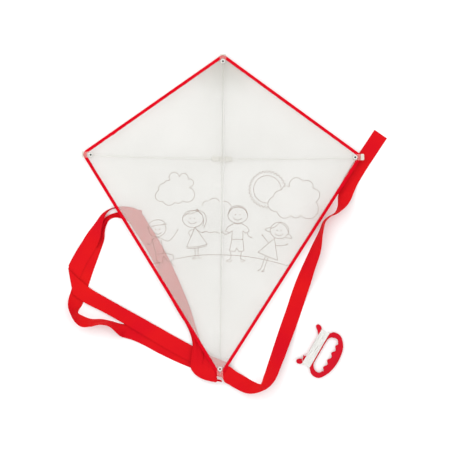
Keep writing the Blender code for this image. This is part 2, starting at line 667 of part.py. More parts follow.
def winder():
    """The hand winder, the line wound on it, and the line's end held in the locking notch."""
    outer = [(BAR_END, BAR_EDGE)] + smooth_loop_part(GRIP_OUTER) + [(-BAR_END, BAR_EDGE)]
    outer += smooth_loop_part(LOCK_PRONG) + smooth_loop_part(PLAIN_PRONG)
    first, last = GRIP_INNER_ENDS
    fingers = []
    for u in np.arange(last[-1][0] + 1.5, first[0][0] - 1, 1.5):
        wave = math.cos(2 * math.pi * u / FINGER_PERIOD)
        fingers.append((u / 1000, (FINGER_LINE + FINGER_DEPTH * wave) / 1000))
    opening = smooth_loop_part(first) + smooth_loop_part(last) + fingers
    body_z = WOUND_THICK + GAP
    frame = Matrix.Translation((*WINDER_AT, 0)) @ Matrix.Rotation(WINDER_TURN, 4, "Z")
    flip = Matrix.Scale(-1, 4, (0, 1, 0))
    plate = flat_mesh([outer, opening], body_z, body_z + WINDER_THICK)
    plate.transform(frame @ flip)
    plate.flip_normals()
    handle = add_piece("winder_handle", plate, WINDER_RED)
    edge = handle.modifiers.new("edge", "BEVEL")
    edge.width = 0.0006
    edge.segments = 2
    edge.limit_method = "ANGLE"
    edge.angle_limit = math.radians(60)

    middle_z = body_z + WINDER_THICK / 2
    inner_z = WINDER_THICK / 2 + GAP
    outer_z = inner_z + WOUND_THICK
    round_end = 0.003
    inner_x = WOUND_HALF_LENGTH - WOUND_THICK
    corner_x = WOUND_HALF_LENGTH - round_end
    corner_z = outer_z - round_end
    turns = []
    for x, z, start in ((corner_x, corner_z, 0), (-corner_x, corner_z, 90),
                        (-corner_x, -corner_z, 180), (corner_x, -corner_z, 270)):
        turns += arc((x, z), round_end, start, start + 90, 6)
    hole = [(inner_x, inner_z), (-inner_x, inner_z), (-inner_x, -inner_z), (inner_x, -inner_z)]
    wound = flat_mesh([turns, hole], -WOUND_HALF_WIDTH, WOUND_HALF_WIDTH)
    stand = Matrix.Translation((0, 0, middle_z)) @ Matrix.Rotation(math.pi / 2, 4, "X")
    wound.transform(frame @ stand)
    add_piece("line_winding", wound, THREAD_WHITE)

    top = body_z + WINDER_THICK
    free = top + LINE_RADIUS + GAP
    route = ((-39, 10.2, 7.2), (-37.5, 11.6, free * 1000), (-34.6, 13.8, free * 1000),
             (-31.8, 15.4, free * 1000 - 0.6), (-30.6, 16.9, 4), (-31.4, 18.2, 1.6),
             (-34, 20.4, LINE_RADIUS * 1000), (-38, 25, LINE_RADIUS * 1000),
             (-44, 28.5, LINE_RADIUS * 1000), (-50, 29, LINE_RADIUS * 1000))
    path = smooth_rows(np.array(route) / 1000, 0.0014)
    tube("line_end", [frame @ Vector(point) for point in path], LINE_RADIUS, 2, THREAD_WHITE)


def wing_hinges():
    """An empty on each wing's fold line, which carries the wing's pieces."""
    for side, word in ((-1, "left"), (1, "right")):
        hinge = bpy.data.objects.new(word + "_wing_hinge", None)
        hinge.empty_display_size = FITTING_OUT
        hinge.location = (side * HINGE_X, 0, HINGE_Z)
        KITE.objects.link(hinge)
        for kind in ("sail_", "binding_", "fitting_", "eyelet_", "washer_"):
            piece = bpy.data.objects[kind + word]
            piece.parent = hinge
            piece.matrix_parent_inverse = Matrix.Translation(hinge.location).inverted()


spars()
sail_and_binding()
corner_hardware()
wing_hinges()
ribbon("tail_ribbon_long", LONG_TAIL)
ribbon("tail_ribbon_looped", LOOPED_TAIL)
bridle()
winder()
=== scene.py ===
"""The looks of a child's diamond kite with ribbon tails and a hand winder.

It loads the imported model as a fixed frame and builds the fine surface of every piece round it:
the sail and its folded binding, the moulded fittings, the rods, the thread, the ribbons and the
winder with its line. Lengths are in metres unless a table says millimetres.
"""

import json
import math

import bmesh
import bpy
import numpy as np
from mathutils import Matrix, Vector


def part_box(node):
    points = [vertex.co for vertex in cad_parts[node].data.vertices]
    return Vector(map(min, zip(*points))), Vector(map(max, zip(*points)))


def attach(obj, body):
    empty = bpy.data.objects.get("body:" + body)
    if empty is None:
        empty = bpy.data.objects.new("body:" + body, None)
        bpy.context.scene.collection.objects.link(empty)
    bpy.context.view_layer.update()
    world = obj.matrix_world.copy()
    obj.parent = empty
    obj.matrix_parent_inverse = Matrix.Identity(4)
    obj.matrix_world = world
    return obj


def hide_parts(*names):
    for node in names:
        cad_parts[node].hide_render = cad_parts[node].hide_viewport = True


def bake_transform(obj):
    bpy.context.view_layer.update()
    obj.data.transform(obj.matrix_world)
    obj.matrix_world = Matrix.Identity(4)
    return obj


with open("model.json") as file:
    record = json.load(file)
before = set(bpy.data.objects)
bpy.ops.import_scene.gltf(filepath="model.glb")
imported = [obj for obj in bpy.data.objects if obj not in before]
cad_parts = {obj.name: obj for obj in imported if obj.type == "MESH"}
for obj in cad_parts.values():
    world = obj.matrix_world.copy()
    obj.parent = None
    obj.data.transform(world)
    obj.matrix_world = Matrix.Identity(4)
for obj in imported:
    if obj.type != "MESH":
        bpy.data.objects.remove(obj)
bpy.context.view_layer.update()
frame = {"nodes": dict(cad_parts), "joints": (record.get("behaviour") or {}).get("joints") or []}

# Outline over the binding, as if its corners were sharp, and how tightly each corner turns
NOSE_Y = 0.2283
TAIL_Y = -0.4794
SIDE_X = 0.3059
SIDE_Y = 0.0097
NOSE_TURN = 0.012
SIDE_TURN = 0.012
TAIL_TURN = 0.0065

# Places read from the frame
EYELETS = {word: (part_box("eyelet_" + word)[0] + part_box("eyelet_" + word)[1]) / 2
           for word in ("nose", "left", "right", "tail")}
SAIL_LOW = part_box("sail_center")[0].z
SAIL_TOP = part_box("sail_center")[1].z
TAPE_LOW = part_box("binding_left")[0].z
TAPE_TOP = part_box("binding_left")[1].z
WORD = {-1: "left", 1: "right"}
HINGE_X = next(j["pos_m"][0] for j in frame["joints"] if j["name"] == "right_wing_fold")

UP = Vector((0, 0, 1))

# Cloth: thicknesses and widths, the steps of its meshes, and how it is folded and pierced
CLOTH = 0.00012
TAPE_CLOTH = 0.00018
TAPE_WIDTH = 0.0069
RIBBON_CLOTH = 0.00016
RIBBON_WIDTH = 0.033
RIBBON_STEP = 0.004
RIBBON_FLOOR = 0.0004
PLEAT = 0.0008
INSIDE_FOLD = 0.0006
SAIL_ROWS = 151
FOLD_HALF = 0.0022
CLOTH_HOLE = 0.0023

# Camera, as the kite is seen from straight above
VIEW_CENTRE = (0.0101, -0.146)
VIEW_WIDTH = 0.983
VIEW_ROLL = math.radians(0.55)
LENS = 100.0
SENSOR = 36.0


# ---------------------------------------------------------------- materials

class Look:
    """A node material built round one Principled shader."""

    def __init__(self, name, roughness, **constants):
        self.material = bpy.data.materials.new(name)
        self.material.use_nodes = True
        self.tree = self.material.node_tree
        self.shader = self.tree.nodes["Principled BSDF"]
        self.shader.inputs["Roughness"].default_value = roughness
        for socket, value in constants.items():
            self.shader.inputs[socket.replace("_", " ")].default_value = value

    def node(self, kind, **settings):
        """A node of that kind, with sockets set by name and properties by attribute."""
        made = self.tree.nodes.new(kind)
        for key, value in settings.items():
            name = key.replace("_", " ")
            if name in made.inputs:
                made.inputs[name].default_value = value
            else:
                setattr(made, key, value)
        return made

    def link(self, source, target):
        self.tree.links.new(source, target)

    def coordinates(self, uv=False):
        """Positions in the row frame, or along and across a strip."""
        source = self.node("ShaderNodeTexCoord")
        return source.outputs["UV" if uv else "Object"]

    def noise(self, scale, detail=3.0):
        made = self.node("ShaderNodeTexNoise", Scale=scale, Detail=detail)
        self.link(self.coordinates(), made.inputs["Vector"])
        return made.outputs["Fac"]

    def bands(self, scale, direction, uv=False):
        """Even ridges across one direction, for threads and fibres."""
        made = self.node("ShaderNodeTexWave", Scale=scale, bands_direction=direction)
        self.link(self.coordinates(uv), made.inputs["Vector"])
        return made.outputs["Fac"]

    def math(self, operation, first, second):
        made = self.node("ShaderNodeMath", operation=operation)
        for socket, value in zip(made.inputs, (first, second)):
            if isinstance(value, (int, float)):
                socket.default_value = value
            else:
                self.link(value, socket)
        return made.outputs[0]

    def shade(self, amount, low, high, painted_shade=None):
        """Colour the surface from low to high as the amount grows, and in the painted shade colour where it
        is nil.
        """
        ramp = self.node("ShaderNodeValToRGB")
        stops = ramp.color_ramp.elements
        stops[0].position, stops[0].color = 0.3, (*low, 1)
        stops[1].position, stops[1].color = 0.7, (*high, 1)
        if painted_shade:
            stops.new(0.0).color = (*painted_shade, 1)
        self.link(amount, ramp.inputs["Fac"])
        colour = self.shader.inputs["Base Color"]
        colour.default_value = (*high, 1)
        self.link(ramp.outputs["Color"], colour)

    def roughen(self, amount, low, high):
        span = self.node("ShaderNodeMapRange", To_Min=low, To_Max=high)
        self.link(amount, span.inputs["Value"])
        self.link(span.outputs["Result"], self.shader.inputs["Roughness"])

    def bump(self, height, distance):
        made = self.node("ShaderNodeBump", Distance=distance, Strength=1.0)
        self.link(height, made.inputs["Height"])
        self.link(made.outputs["Normal"], self.shader.inputs["Normal"])


def sail_look():
    look = Look("sail_fabric_look", 0.62, Alpha=0.285, Specular_IOR_Level=0.12,
                Sheen_Weight=0.05, Sheen_Roughness=0.4)
    # Painted shade: the cloth turns darker and yellower towards the nose, for the shade that its creases cast
    # there.
    from_nose = look.node("ShaderNodeVectorMath", operation="DISTANCE")
    look.link(look.coordinates(), from_nose.inputs[0])
    from_nose.inputs[1].default_value = (0, NOSE_Y, SAIL_TOP)
    away = look.node("ShaderNodeMapRange", interpolation_type="SMOOTHSTEP",
                     From_Min=0.02, From_Max=0.15)
    look.link(from_nose.outputs["Value"], away.inputs["Value"])
    look.shade(look.math("MULTIPLY", look.noise(9.0, 4.0), away.outputs["Result"]),
               (0.65, 0.642, 0.605), (0.71, 0.702, 0.668), painted_shade=(0.44, 0.425, 0.37))
    weave = look.math("MULTIPLY", look.bands(520.0, "X"), look.bands(520.0, "Y"))
    look.bump(look.math("ADD", weave, look.math("MULTIPLY", look.noise(160.0, 2.0), 0.6)), 0.00006)
    return look.material


def tape_look():
    look = Look("binding_tape_look", 0.75, Specular_IOR_Level=0.04)
    look.shade(look.noise(60.0, 3.0), (0.52, 0.0008, 0.009), (0.60, 0.0016, 0.0115))
    rib = look.bands(1.0, "X", uv=True)
    cross = look.bands(1.0, "Y", uv=True)
    look.bump(look.math("ADD", rib, look.math("MULTIPLY", cross, 0.5)), 0.00008)
    return look.material


def ribbon_look():
    look = Look("tail_ribbon_look", 0.6, Specular_IOR_Level=0.05)
    look.shade(look.noise(9.0, 2.0), (0.515, 0.001, 0.009), (0.59, 0.0055, 0.0065))
    weft = look.bands(1.4, "Y", uv=True)
    warp = look.bands(1.1, "X", uv=True)
    look.bump(look.math("ADD", look.math("MULTIPLY", warp, 0.4), weft), 0.00007)
    look.roughen(look.noise(700.0, 2.0), 0.5, 0.68)
    return look.material


def mottled(name, low, high, grain, roughness, grit=None, twist=None, shine=None, **constants):
    """A look mottled from low to high, with a gritty or twisted relief and an uneven shine."""
    look = Look(name, roughness, **constants)
    look.shade(look.noise(*grain), low, high)
    if grit:
        look.bump(look.noise(grit[0], 2.0), grit[1])
    if twist:
        look.bump(look.bands(twist[0], "DIAGONAL"), twist[1])
    if shine:
        look.roughen(look.noise(*shine[0]), *shine[1])
    return look.material


def darker(colour, share):
    return tuple(share * c for c in colour)


def fitting_look(name, alpha, colour):
    return mottled(name, darker(colour, 0.94), colour, (260.0,), 0.34, grit=(1800.0, 0.00003),
                   shine=((420.0,), (0.28, 0.46)), Alpha=alpha, Specular_IOR_Level=0.3)


def bore_shadow_look(name, colour):
    return mottled(name, darker(colour, 0.7), colour, (800.0,), 0.7, Specular_IOR_Level=0.1)


def thread_look(name, colour):
    return mottled(name, darker(colour, 0.95), colour, (420.0, 4.0), 0.85, twist=(640.0, 0.0001),
                   Specular_IOR_Level=0.15, Sheen_Weight=0.2, Sheen_Roughness=0.5)


SAIL = sail_look()
TAPE = tape_look()
RIBBON = ribbon_look()
STITCH = mottled("stitch_look", (0.515, 0.0017, 0.01), (0.65, 0.0066, 0.021), (900.0,), 0.6,
                 twist=(900.0, 0.00008), Specular_IOR_Level=0.1)
ROD = mottled("spar_rod_look", (0.70, 0.70, 0.675), (0.80, 0.80, 0.775), (350.0, 4.0), 0.38,
              grit=(900.0, 0.00004), shine=((240.0,), (0.3, 0.5)))
LEAF = fitting_look("fitting_leaf_look", 0.10, (0.90, 0.82, 0.76))
FITTING = fitting_look("fitting_plastic_look", 0.75, (0.70, 0.67, 0.59))
CLIP = fitting_look("spar_clip_look", 0.95, (0.72, 0.70, 0.65))
EYELET = mottled("eyelet_plastic_look", (0.56, 0.555, 0.52), (0.61, 0.605, 0.57), (700.0,), 0.25,
                 shine=((900.0,), (0.18, 0.36)), Specular_IOR_Level=0.5)
# Painted shadow: near-black for the shade deep inside the rivets' holes, and dark red at the tail for the
# ribbons lying in shade below.
BORE_SHADOW = bore_shadow_look("eyelet_bore_look", (0.008, 0.016, 0.018))
TAIL_BORE_SHADOW = bore_shadow_look("eyelet_tail_bore_look", (0.10, 0.004, 0.003))
LINE = thread_look("line_thread_look", (0.81, 0.805, 0.775))
BRIDLE = thread_look("bridle_thread_look", (0.71, 0.705, 0.68))
WINDER = mottled("winder_plastic_look", (0.45, 0.0007, 0.01), (0.51, 0.0013, 0.013), (45.0,), 0.32,
                 grit=(2400.0, 0.00003), shine=((300.0, 4.0), (0.26, 0.44)), Specular_IOR_Level=0.1)
INK = mottled("print_ink_look", (0.24, 0.18, 0.15), (0.35, 0.28, 0.24), (600.0, 2.0), 0.7,
              Specular_IOR_Level=0.05)


# ---------------------------------------------------------------- helpers

def new_object(name, data, look, smooth=True):
    """An object in the scene, with its one material."""
    data.materials.clear()
    data.materials.append(look)
    made = bpy.data.objects.new(name, data)
    bpy.context.scene.collection.objects.link(made)
    if smooth and isinstance(data, bpy.types.Mesh):
        data.shade_smooth()
    return made


def apply_modifiers(piece, sharp_angle=None):
    """Turn the evaluated object into its mesh, with no modifier left."""
    bpy.context.view_layer.update()
    evaluated = piece.evaluated_get(bpy.context.evaluated_depsgraph_get())
    mesh = bpy.data.meshes.new_from_object(evaluated)
    piece.modifiers.clear()
    piece.data = mesh
    if sharp_angle is not None:
        mesh.shade_smooth()
        mesh.set_sharp_from_angle(angle=math.radians(sharp_angle))
    return piece


def thicken(piece, thickness):
    solid = piece.modifiers.new("cloth", "SOLIDIFY")
    solid.thickness = thickness
    solid.offset = 0
    solid.use_even_offset = False
    return apply_modifiers(piece)


def carve(piece, operation, sharp_angle=None):
    """Cut the piece by the block that was added last, which then goes."""
    block = bpy.context.object
    step = piece.modifiers.new("carve", "BOOLEAN")
    step.operation = operation
    step.solver = "EXACT"
    step.object = block
    apply_modifiers(piece, sharp_angle)
    bpy.data.objects.remove(block)


def drill(piece, *places):
    """Punch round holes along Z."""
    for place in places:
        bpy.ops.mesh.primitive_cylinder_add(vertices=40, radius=CLOTH_HOLE, depth=0.03,
                                            location=(place.x, place.y, SAIL_LOW))
        carve(piece, "DIFFERENCE")


def belong(piece, body, slot, *nodes):
    """Tie a piece to its body and hide the nodes that it stands for; the slot is not used."""
    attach(piece, body)
    if nodes:
        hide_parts(*nodes)


def smooth_rows(rows, step):
    """Rows on one smooth curve through the given rows, about a step apart along their places."""
    rows = np.array(rows, dtype=float)
    spans = np.linalg.norm(np.diff(rows[:, :3], axis=0), axis=1)
    slopes = np.diff(rows, axis=0) / spans[:, None]
    tangents = np.empty_like(rows)
    tangents[0] = slopes[0]
    tangents[-1] = slopes[-1]
    share = (spans[:-1] / (spans[:-1] + spans[1:]))[:, None]
    tangents[1:-1] = slopes[1:] * share + slopes[:-1] * (1 - share)
    result = []
    for i, span in enumerate(spans):
        count = max(1, round(span / step))
        for t in np.arange(count) / count:
            result.append(rows[i] * (2 * t**3 - 3 * t**2 + 1)
                          + rows[i + 1] * (3 * t**2 - 2 * t**3)
                          + tangents[i] * span * (t**3 - 2 * t**2 + t)
                          + tangents[i + 1] * span * (t**3 - t**2))
    result.append(rows[-1])
    return np.array(result)


def full_turn(steps):
    """Angles evenly round a circle."""
    return np.linspace(0, 2 * math.pi, steps, endpoint=False)


def ring(place, across, up, radius, steps):
    """Points evenly round a place."""
    return [place + (across * math.cos(a) + up * math.sin(a)) * radius for a in full_turn(steps)]


def headings(points):
    """Unit vectors along a line of points."""
    travel = np.gradient(points, axis=0)
    return travel / np.maximum(np.linalg.norm(travel, axis=1), 1e-9)[:, None]


def distances(points):
    """How far along a line each of its points is."""
    return np.concatenate(([0], np.cumsum(np.linalg.norm(np.diff(points, axis=0), axis=1))))


def grid_mesh(name, points, uvs=None, closed=False):
    """A mesh over a grid of points, rows first; closed joins the last column to the first."""
    rows, columns = len(points), len(points[0])
    verts = [tuple(p) for row in points for p in row]
    faces = []
    corners = []
    for i in range(rows - 1):
        for j in range(columns if closed else columns - 1):
            k = (j + 1) % columns
            faces.append((i * columns + j, i * columns + k, (i + 1) * columns + k, (i + 1) * columns + j))
            corners.append(((i, j), (i, j + 1), (i + 1, j + 1), (i + 1, j)))
    if closed:
        faces.append(tuple(range(columns))[::-1])
        faces.append(tuple((rows - 1) * columns + j for j in range(columns)))
        corners.append([(0, j) for j in range(columns)][::-1])
        corners.append([(rows - 1, j) for j in range(columns)])
    mesh = bpy.data.meshes.new(name)
    mesh.from_pydata(verts, [], faces)
    if uvs is not None:
        along, across = uvs
        layer = mesh.uv_layers.new(name="UVMap")
        flat = [(across[j % len(across)], along[i]) for face in corners for i, j in face]
        layer.data.foreach_set("uv", np.array(flat, dtype=np.float32).ravel())
    mesh.validate()
    return mesh


def loft(work, rings):
    """Skin a row of rings into a closed solid."""
    rings = [[work.verts.new(point) for point in points] for points in rings]
    for first, second in zip(rings, rings[1:]):
        for j in range(-1, len(first) - 1):
            work.faces.new((first[j], first[j + 1], second[j + 1], second[j]))
    work.faces.new(rings[0][::-1])
    work.faces.new(rings[-1])


def mesh_from(work, name):
    mesh = bpy.data.meshes.new(name)
    work.to_mesh(mesh)
    work.free()
    return mesh


def weld(mesh, distance=1e-6):
    work = bmesh.new()
    work.from_mesh(mesh)
    bmesh.ops.remove_doubles(work, verts=work.verts, dist=distance)
    bmesh.ops.dissolve_degenerate(work, edges=work.edges, dist=distance)
    bmesh.ops.recalc_face_normals(work, faces=work.faces)
    work.to_mesh(mesh)
    work.free()
    return mesh


def fold_with_wing(piece):
    """Bake the placement of a piece that runs over a wing's fold line into its mesh."""
    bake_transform(piece)


def ripple(x, y, seed):
    """A smooth, fixed wobble between -1 and 1."""
    total = 0.0
    for k in range(1, 4):
        total += math.sin(x * 61 * k + seed * 1.7 * k) * math.cos(y * 47 * k - seed * 2.3 * k) / k
    return total / 1.83


# ---------------------------------------------------------------- sail

UPPER_SLOPE = math.atan2(NOSE_Y - SIDE_Y, SIDE_X)
LOWER_SLOPE = math.atan2(SIDE_Y - TAIL_Y, SIDE_X)
SIDE_HALF = (UPPER_SLOPE + LOWER_SLOPE) / 2
NOSE_CENTRE = Vector((0, NOSE_Y - NOSE_TURN / math.cos(UPPER_SLOPE)))
TAIL_CENTRE = Vector((0, TAIL_Y + TAIL_TURN / math.cos(LOWER_SLOPE)))
SIDE_LEAN = (LOWER_SLOPE - UPPER_SLOPE) / 2
SIDE_CENTRE = (Vector((SIDE_X, SIDE_Y))
               - Vector((math.cos(SIDE_LEAN), math.sin(SIDE_LEAN))) * (SIDE_TURN / math.sin(SIDE_HALF)))


def outward(angle):
    return Vector((math.cos(angle), math.sin(angle)))


def outline():
    """Stations round the +X half of the outline, from nose to tail: a point and which way is out."""
    up = math.pi / 2 - UPPER_SLOPE
    down = LOWER_SLOPE - math.pi / 2
    stations = []
    columns = fold_columns(SIDE_X)

    def turn(centre, radius, start, end, steps):
        for angle in np.linspace(start, end, steps + 1):
            out = outward(angle)
            stations.append((centre + out * radius, out))

    def run(angle, stops):
        out = outward(angle)
        first = stations[-1][0]
        last = SIDE_CENTRE + out * SIDE_TURN if angle > 0 else TAIL_CENTRE + out * TAIL_TURN
        low, high = sorted((first.x, last.x))
        stations.extend((first + (last - first) * ((x - first.x) / (last.x - first.x)), out)
                        for x in stops if low + 0.0003 < x < high - 0.0003)

    turn(NOSE_CENTRE, NOSE_TURN, math.pi / 2, up, 7)
    run(up, columns)
    turn(SIDE_CENTRE, SIDE_TURN, up, down, 14)
    run(down, columns[::-1])
    turn(TAIL_CENTRE, TAIL_TURN, down, -math.pi / 2, 7)
    return stations


# Folds that the tight corners pull into the cloth, in millimetres: two ends, half width, height
FOLDS = (
    ((-6, 200), (-205, 78), 13, 1.0),
    ((-5, 196), (-120, 112), 9, -0.6),
    ((6, 200), (128, 124), 7, 1.1),
    ((6, 198), (190, 60), 16, -0.9),
    ((5, 190), (70, 88), 12, 0.5),
    ((58, 92), (150, 34), 9, 0.5),
    ((-55, 96), (-110, 60), 10, -0.4),
    ((-280, 8), (-150, 40), 10, 0.7),
    ((-280, 2), (-120, -36), 12, 0.6),
    ((280, 8), (150, 40), 10, 0.7),
    ((280, 2), (120, -40), 12, 0.7),
    ((4, -440), (52, -300), 9, 0.6),
    ((-4, -440), (-48, -310), 9, 0.5),
    ((120, -180), (60, -330), 14, 0.4),
)


def edge_distance(x, y):
    """How far inside the outline a point is."""
    corner = Vector((abs(x) - SIDE_X, y - SIDE_Y))
    upper = Vector((math.sin(UPPER_SLOPE), math.cos(UPPER_SLOPE)))
    lower = Vector((math.sin(LOWER_SLOPE), -math.cos(LOWER_SLOPE)))
    return -max(corner.dot(upper), corner.dot(lower))


def sail_lift(x, y):
    """How far the cloth stands from its flat level: folds, a slight belly and fine wobble."""
    total = 0.25 * ripple(x * 0.35, y * 0.35, 3) + 0.12 * ripple(x * 1.3, y * 1.3, 8)
    spot = Vector((x * 1000, y * 1000))
    for start, end, half, height in FOLDS:
        first = Vector(start)
        run = Vector(end) - first
        share = (spot - first).dot(run) / run.length_squared
        away = abs((spot - first).x * run.y - (spot - first).y * run.x) / run.length
        width = half * (0.45 + 0.9 * min(max(share, 0), 1))
        taper = math.exp(-max(-share, share - 1, 0) ** 2 * 30) * (1 - 0.55 * min(max(share, 0), 1))
        total += height * taper * math.exp(-(away / width) ** 2)
    edge = min(max(edge_distance(x, y) - TAPE_WIDTH, 0) / 0.02, 1)
    spine = min(max(abs(x) - 0.006, 0) / 0.02, 1)
    hold = edge * edge * (3 - 2 * edge) * spine * spine * (3 - 2 * spine)
    return total * hold / 1000


def spread(stops, step):
    """Values through the stops, at most a step apart."""
    result = []
    for low, high in zip(stops, stops[1:]):
        count = max(1, math.ceil((high - low) / step))
        result += list(np.linspace(low, high, count, endpoint=False))
    return result + [stops[-1]]


def fold_columns(outer):
    """Distances from the spine, close together where the cloth folds."""
    inner = spread((0, HINGE_X - FOLD_HALF), 0.002)[:-1]
    bend = spread((HINGE_X - FOLD_HALF, HINGE_X + FOLD_HALF), 0.0006)[:-1]
    return inner + bend + spread((HINGE_X + FOLD_HALF, outer), 0.004)


def sail_panel(side):
    """Half of the sail, from the spine to one side corner."""
    word = WORD[side]
    middle = (SAIL_LOW + SAIL_TOP) / 2
    edge = [point - out * INSIDE_FOLD for point, out in outline()]
    tip = max(range(len(edge)), key=lambda i: edge[i].x)
    upper, lower = edge[:tip + 1], edge[tip:][::-1]
    corner = {point.x for point in edge if point.x > SIDE_CENTRE.x}
    across = sorted(set(fold_columns(edge[tip].x)) | corner)
    tops = np.interp(across, [p.x for p in upper], [p.y for p in upper])
    bottoms = np.interp(across, [p.x for p in lower], [p.y for p in lower])
    rows = []
    for x, top, bottom in zip(across, tops, bottoms):
        heights = np.linspace(bottom, top, SAIL_ROWS)
        rows.append([(side * x, y, middle + sail_lift(side * x, y)) for y in heights])
    sail = new_object("sail_" + word + "_cloth", weld(grid_mesh("sail", rows)), SAIL)
    thicken(sail, CLOTH)
    drill(sail, EYELETS[word], EYELETS["nose"], EYELETS["tail"])
    sail.data.shade_smooth()
    fold_with_wing(sail)
    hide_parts("sail_" + word)
    if side > 0:
        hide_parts("sail_center")


for wing in WORD:
    sail_panel(wing)


# ---------------------------------------------------------------- binding tape

STITCH_PITCH = 0.0031
STITCH_LENGTH = 0.0024
STITCH_RADIUS = 0.00016
STITCH_INSET = 0.0013
STITCH_CLEAR = 0.0085
TAPE_ENDS = (0.232, 0.244)


def tape_profile(extra=0.0):
    """The folded tape's section: how far in from the edge, and the height, all the way round."""
    reach = TAPE_WIDTH + extra
    low = TAPE_LOW + 0.00005 - extra * 0.3
    high = TAPE_TOP - 0.00005 + extra * 0.3
    half = (high - low) / 2
    middle = (high + low) / 2
    inner = half - TAPE_CLOTH
    turns = np.radians(np.linspace(90, 270, 9))
    outside = [(half + half * math.cos(turn), middle + half * math.sin(turn)) for turn in turns]
    inside = [(half + inner * math.cos(turn), middle + inner * math.sin(turn)) for turn in turns[::-1]]
    return [(reach, high), *outside, (reach, low),
            (reach, low + TAPE_CLOTH), *inside, (reach, high - TAPE_CLOTH)]


def tape_run(side, stations, extra=0.0):
    """The folded tape along stations of the outline."""
    rows = []
    profile = tape_profile(extra)
    for point, out in stations:
        row = []
        for inset, z in profile:
            inset += 0.00025 * ripple(point.x * 10, point.y * 10, 5) * min(inset / TAPE_WIDTH, 1)
            if point.y < TAIL_CENTRE.y:
                inset = min(inset, TAIL_TURN - 0.0001)
            place = point - out * inset
            row.append((side * place.x, place.y, z))
        rows.append(row)
    along = distances([point for point, _ in stations]) * 1000
    across = [inset * 1000 for inset, _ in profile]
    return weld(grid_mesh("tape", rows, uvs=(along, across + across[:1]), closed=True))


def stitch_mesh(places):
    """Short threads: each place is a middle point and the direction that the thread runs in."""
    work = bmesh.new()
    for middle, direction in places:
        run = direction.normalized() * (STITCH_LENGTH / 2)
        across = Vector((-run.y, run.x, 0)).normalized()
        loft(work, [ring(middle + run * along, across, UP, STITCH_RADIUS * size, 6)
                    for along, size in ((-1, 0.35), (-0.6, 0.95), (0.6, 0.95), (1, 0.35))])
    return mesh_from(work, "stitches")


def stitch_places(side):
    """Places all along one side for a row of stitches, on the front and on the back."""
    row = [point - out * (TAPE_WIDTH - STITCH_INSET) for point, out in outline()]
    along = distances(row)
    places = []
    for here in np.arange(STITCH_PITCH, along[-1] - STITCH_PITCH, STITCH_PITCH):
        x, y, next_x, next_y = (np.interp(where, along, [p[k] for p in row])
                                for where in (here, here + STITCH_PITCH / 4) for k in (0, 1))
        flat = Vector((side * x, y, 0))
        near = min((flat.xy - p.xy).length for p in EYELETS.values())
        if near > STITCH_CLEAR:
            run = Vector((side * (next_x - x), next_y - y, 0))
            places += [(flat + UP * z, run) for z in (TAPE_TOP - 0.00002, TAPE_LOW + 0.00002)]
    return places


def binding(side):
    """The folded tape of one side, and its stitching."""
    word = WORD[side]
    tape = new_object("binding_" + word + "_tape", tape_run(side, outline()), TAPE)
    tape.data.set_sharp_from_angle(angle=math.radians(50))
    fold_with_wing(tape)
    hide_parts("binding_" + word)
    if side > 0:
        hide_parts("binding_nose", "binding_tail")
    stitches = new_object("binding_" + word + "_stitches", stitch_mesh(stitch_places(side)), STITCH)
    fold_with_wing(stitches)


def tape_overlap():
    """Where the tape's two ends meet on the upper left edge, one lies folded over the other."""
    start, end = TAPE_ENDS
    ends = [(point, out) for point, out in outline()
            if point.y > SIDE_CENTRE.y + SIDE_TURN and start < point.x < end]
    overlap = new_object("binding_overlap", tape_run(-1, ends, extra=0.0006), TAPE)
    overlap.data.set_sharp_from_angle(angle=math.radians(50))
    belong(overlap, "left_wing", "binding_tape")


for wing in WORD:
    binding(wing)
tape_overlap()


# ---------------------------------------------------------------- moulded pieces

def moulded_copy(node, name, look, rounding):
    """A finished copy of a CAD piece: its flat faces made whole and its edges rounded."""
    source = frame["nodes"][node]
    mesh = source.data.copy()
    mesh.transform(source.matrix_world)
    work = bmesh.new()
    work.from_mesh(mesh)
    bmesh.ops.remove_doubles(work, verts=work.verts, dist=1e-7)
    bmesh.ops.dissolve_limit(work, angle_limit=math.radians(1.0), verts=work.verts, edges=work.edges)
    work.to_mesh(mesh)
    work.free()
    piece = new_object(name, mesh, look)
    edge = piece.modifiers.new("edge", "BEVEL")
    edge.width = rounding
    edge.segments = 3
    edge.limit_method = "ANGLE"
    edge.angle_limit = math.radians(35)
    edge.use_clamp_overlap = True
    return apply_modifiers(piece, sharp_angle=30)


def turned(name, profile, look, place):
    """A closed profile of (radius, height) turned about Z, smooth and closed."""
    steps = 64
    count = len(profile)
    verts = [(r * math.cos(a), r * math.sin(a), z) for a in full_turn(steps) for r, z in profile]
    faces = []
    for i in range(steps):
        k = (i + 1) % steps
        for j in range(count):
            m = (j + 1) % count
            faces.append((i * count + j, k * count + j, k * count + m, i * count + m))
    mesh = bpy.data.meshes.new(name)
    mesh.from_pydata(verts, [], faces)
    piece = new_object(name, weld(mesh), look)
    piece.location = (place.x, place.y, 0)
    mesh.set_sharp_from_angle(angle=math.radians(50))
    return piece


def rounded_profile(points, radius):
    """A closed profile with its corners rounded."""
    points = [Vector(point) for point in points]
    result = []
    for i, here in enumerate(points):
        first = points[i - 1] - here
        second = points[(i + 1) % len(points)] - here
        cut = min(radius, first.length * 0.45, second.length * 0.45)
        start = here + first.normalized() * cut
        end = here + second.normalized() * cut
        for t in np.linspace(0, 1, 5):
            point = start * (1 - t) ** 2 + here * 2 * t * (1 - t) + end * t**2
            result.append((point.x, point.y))
    return result


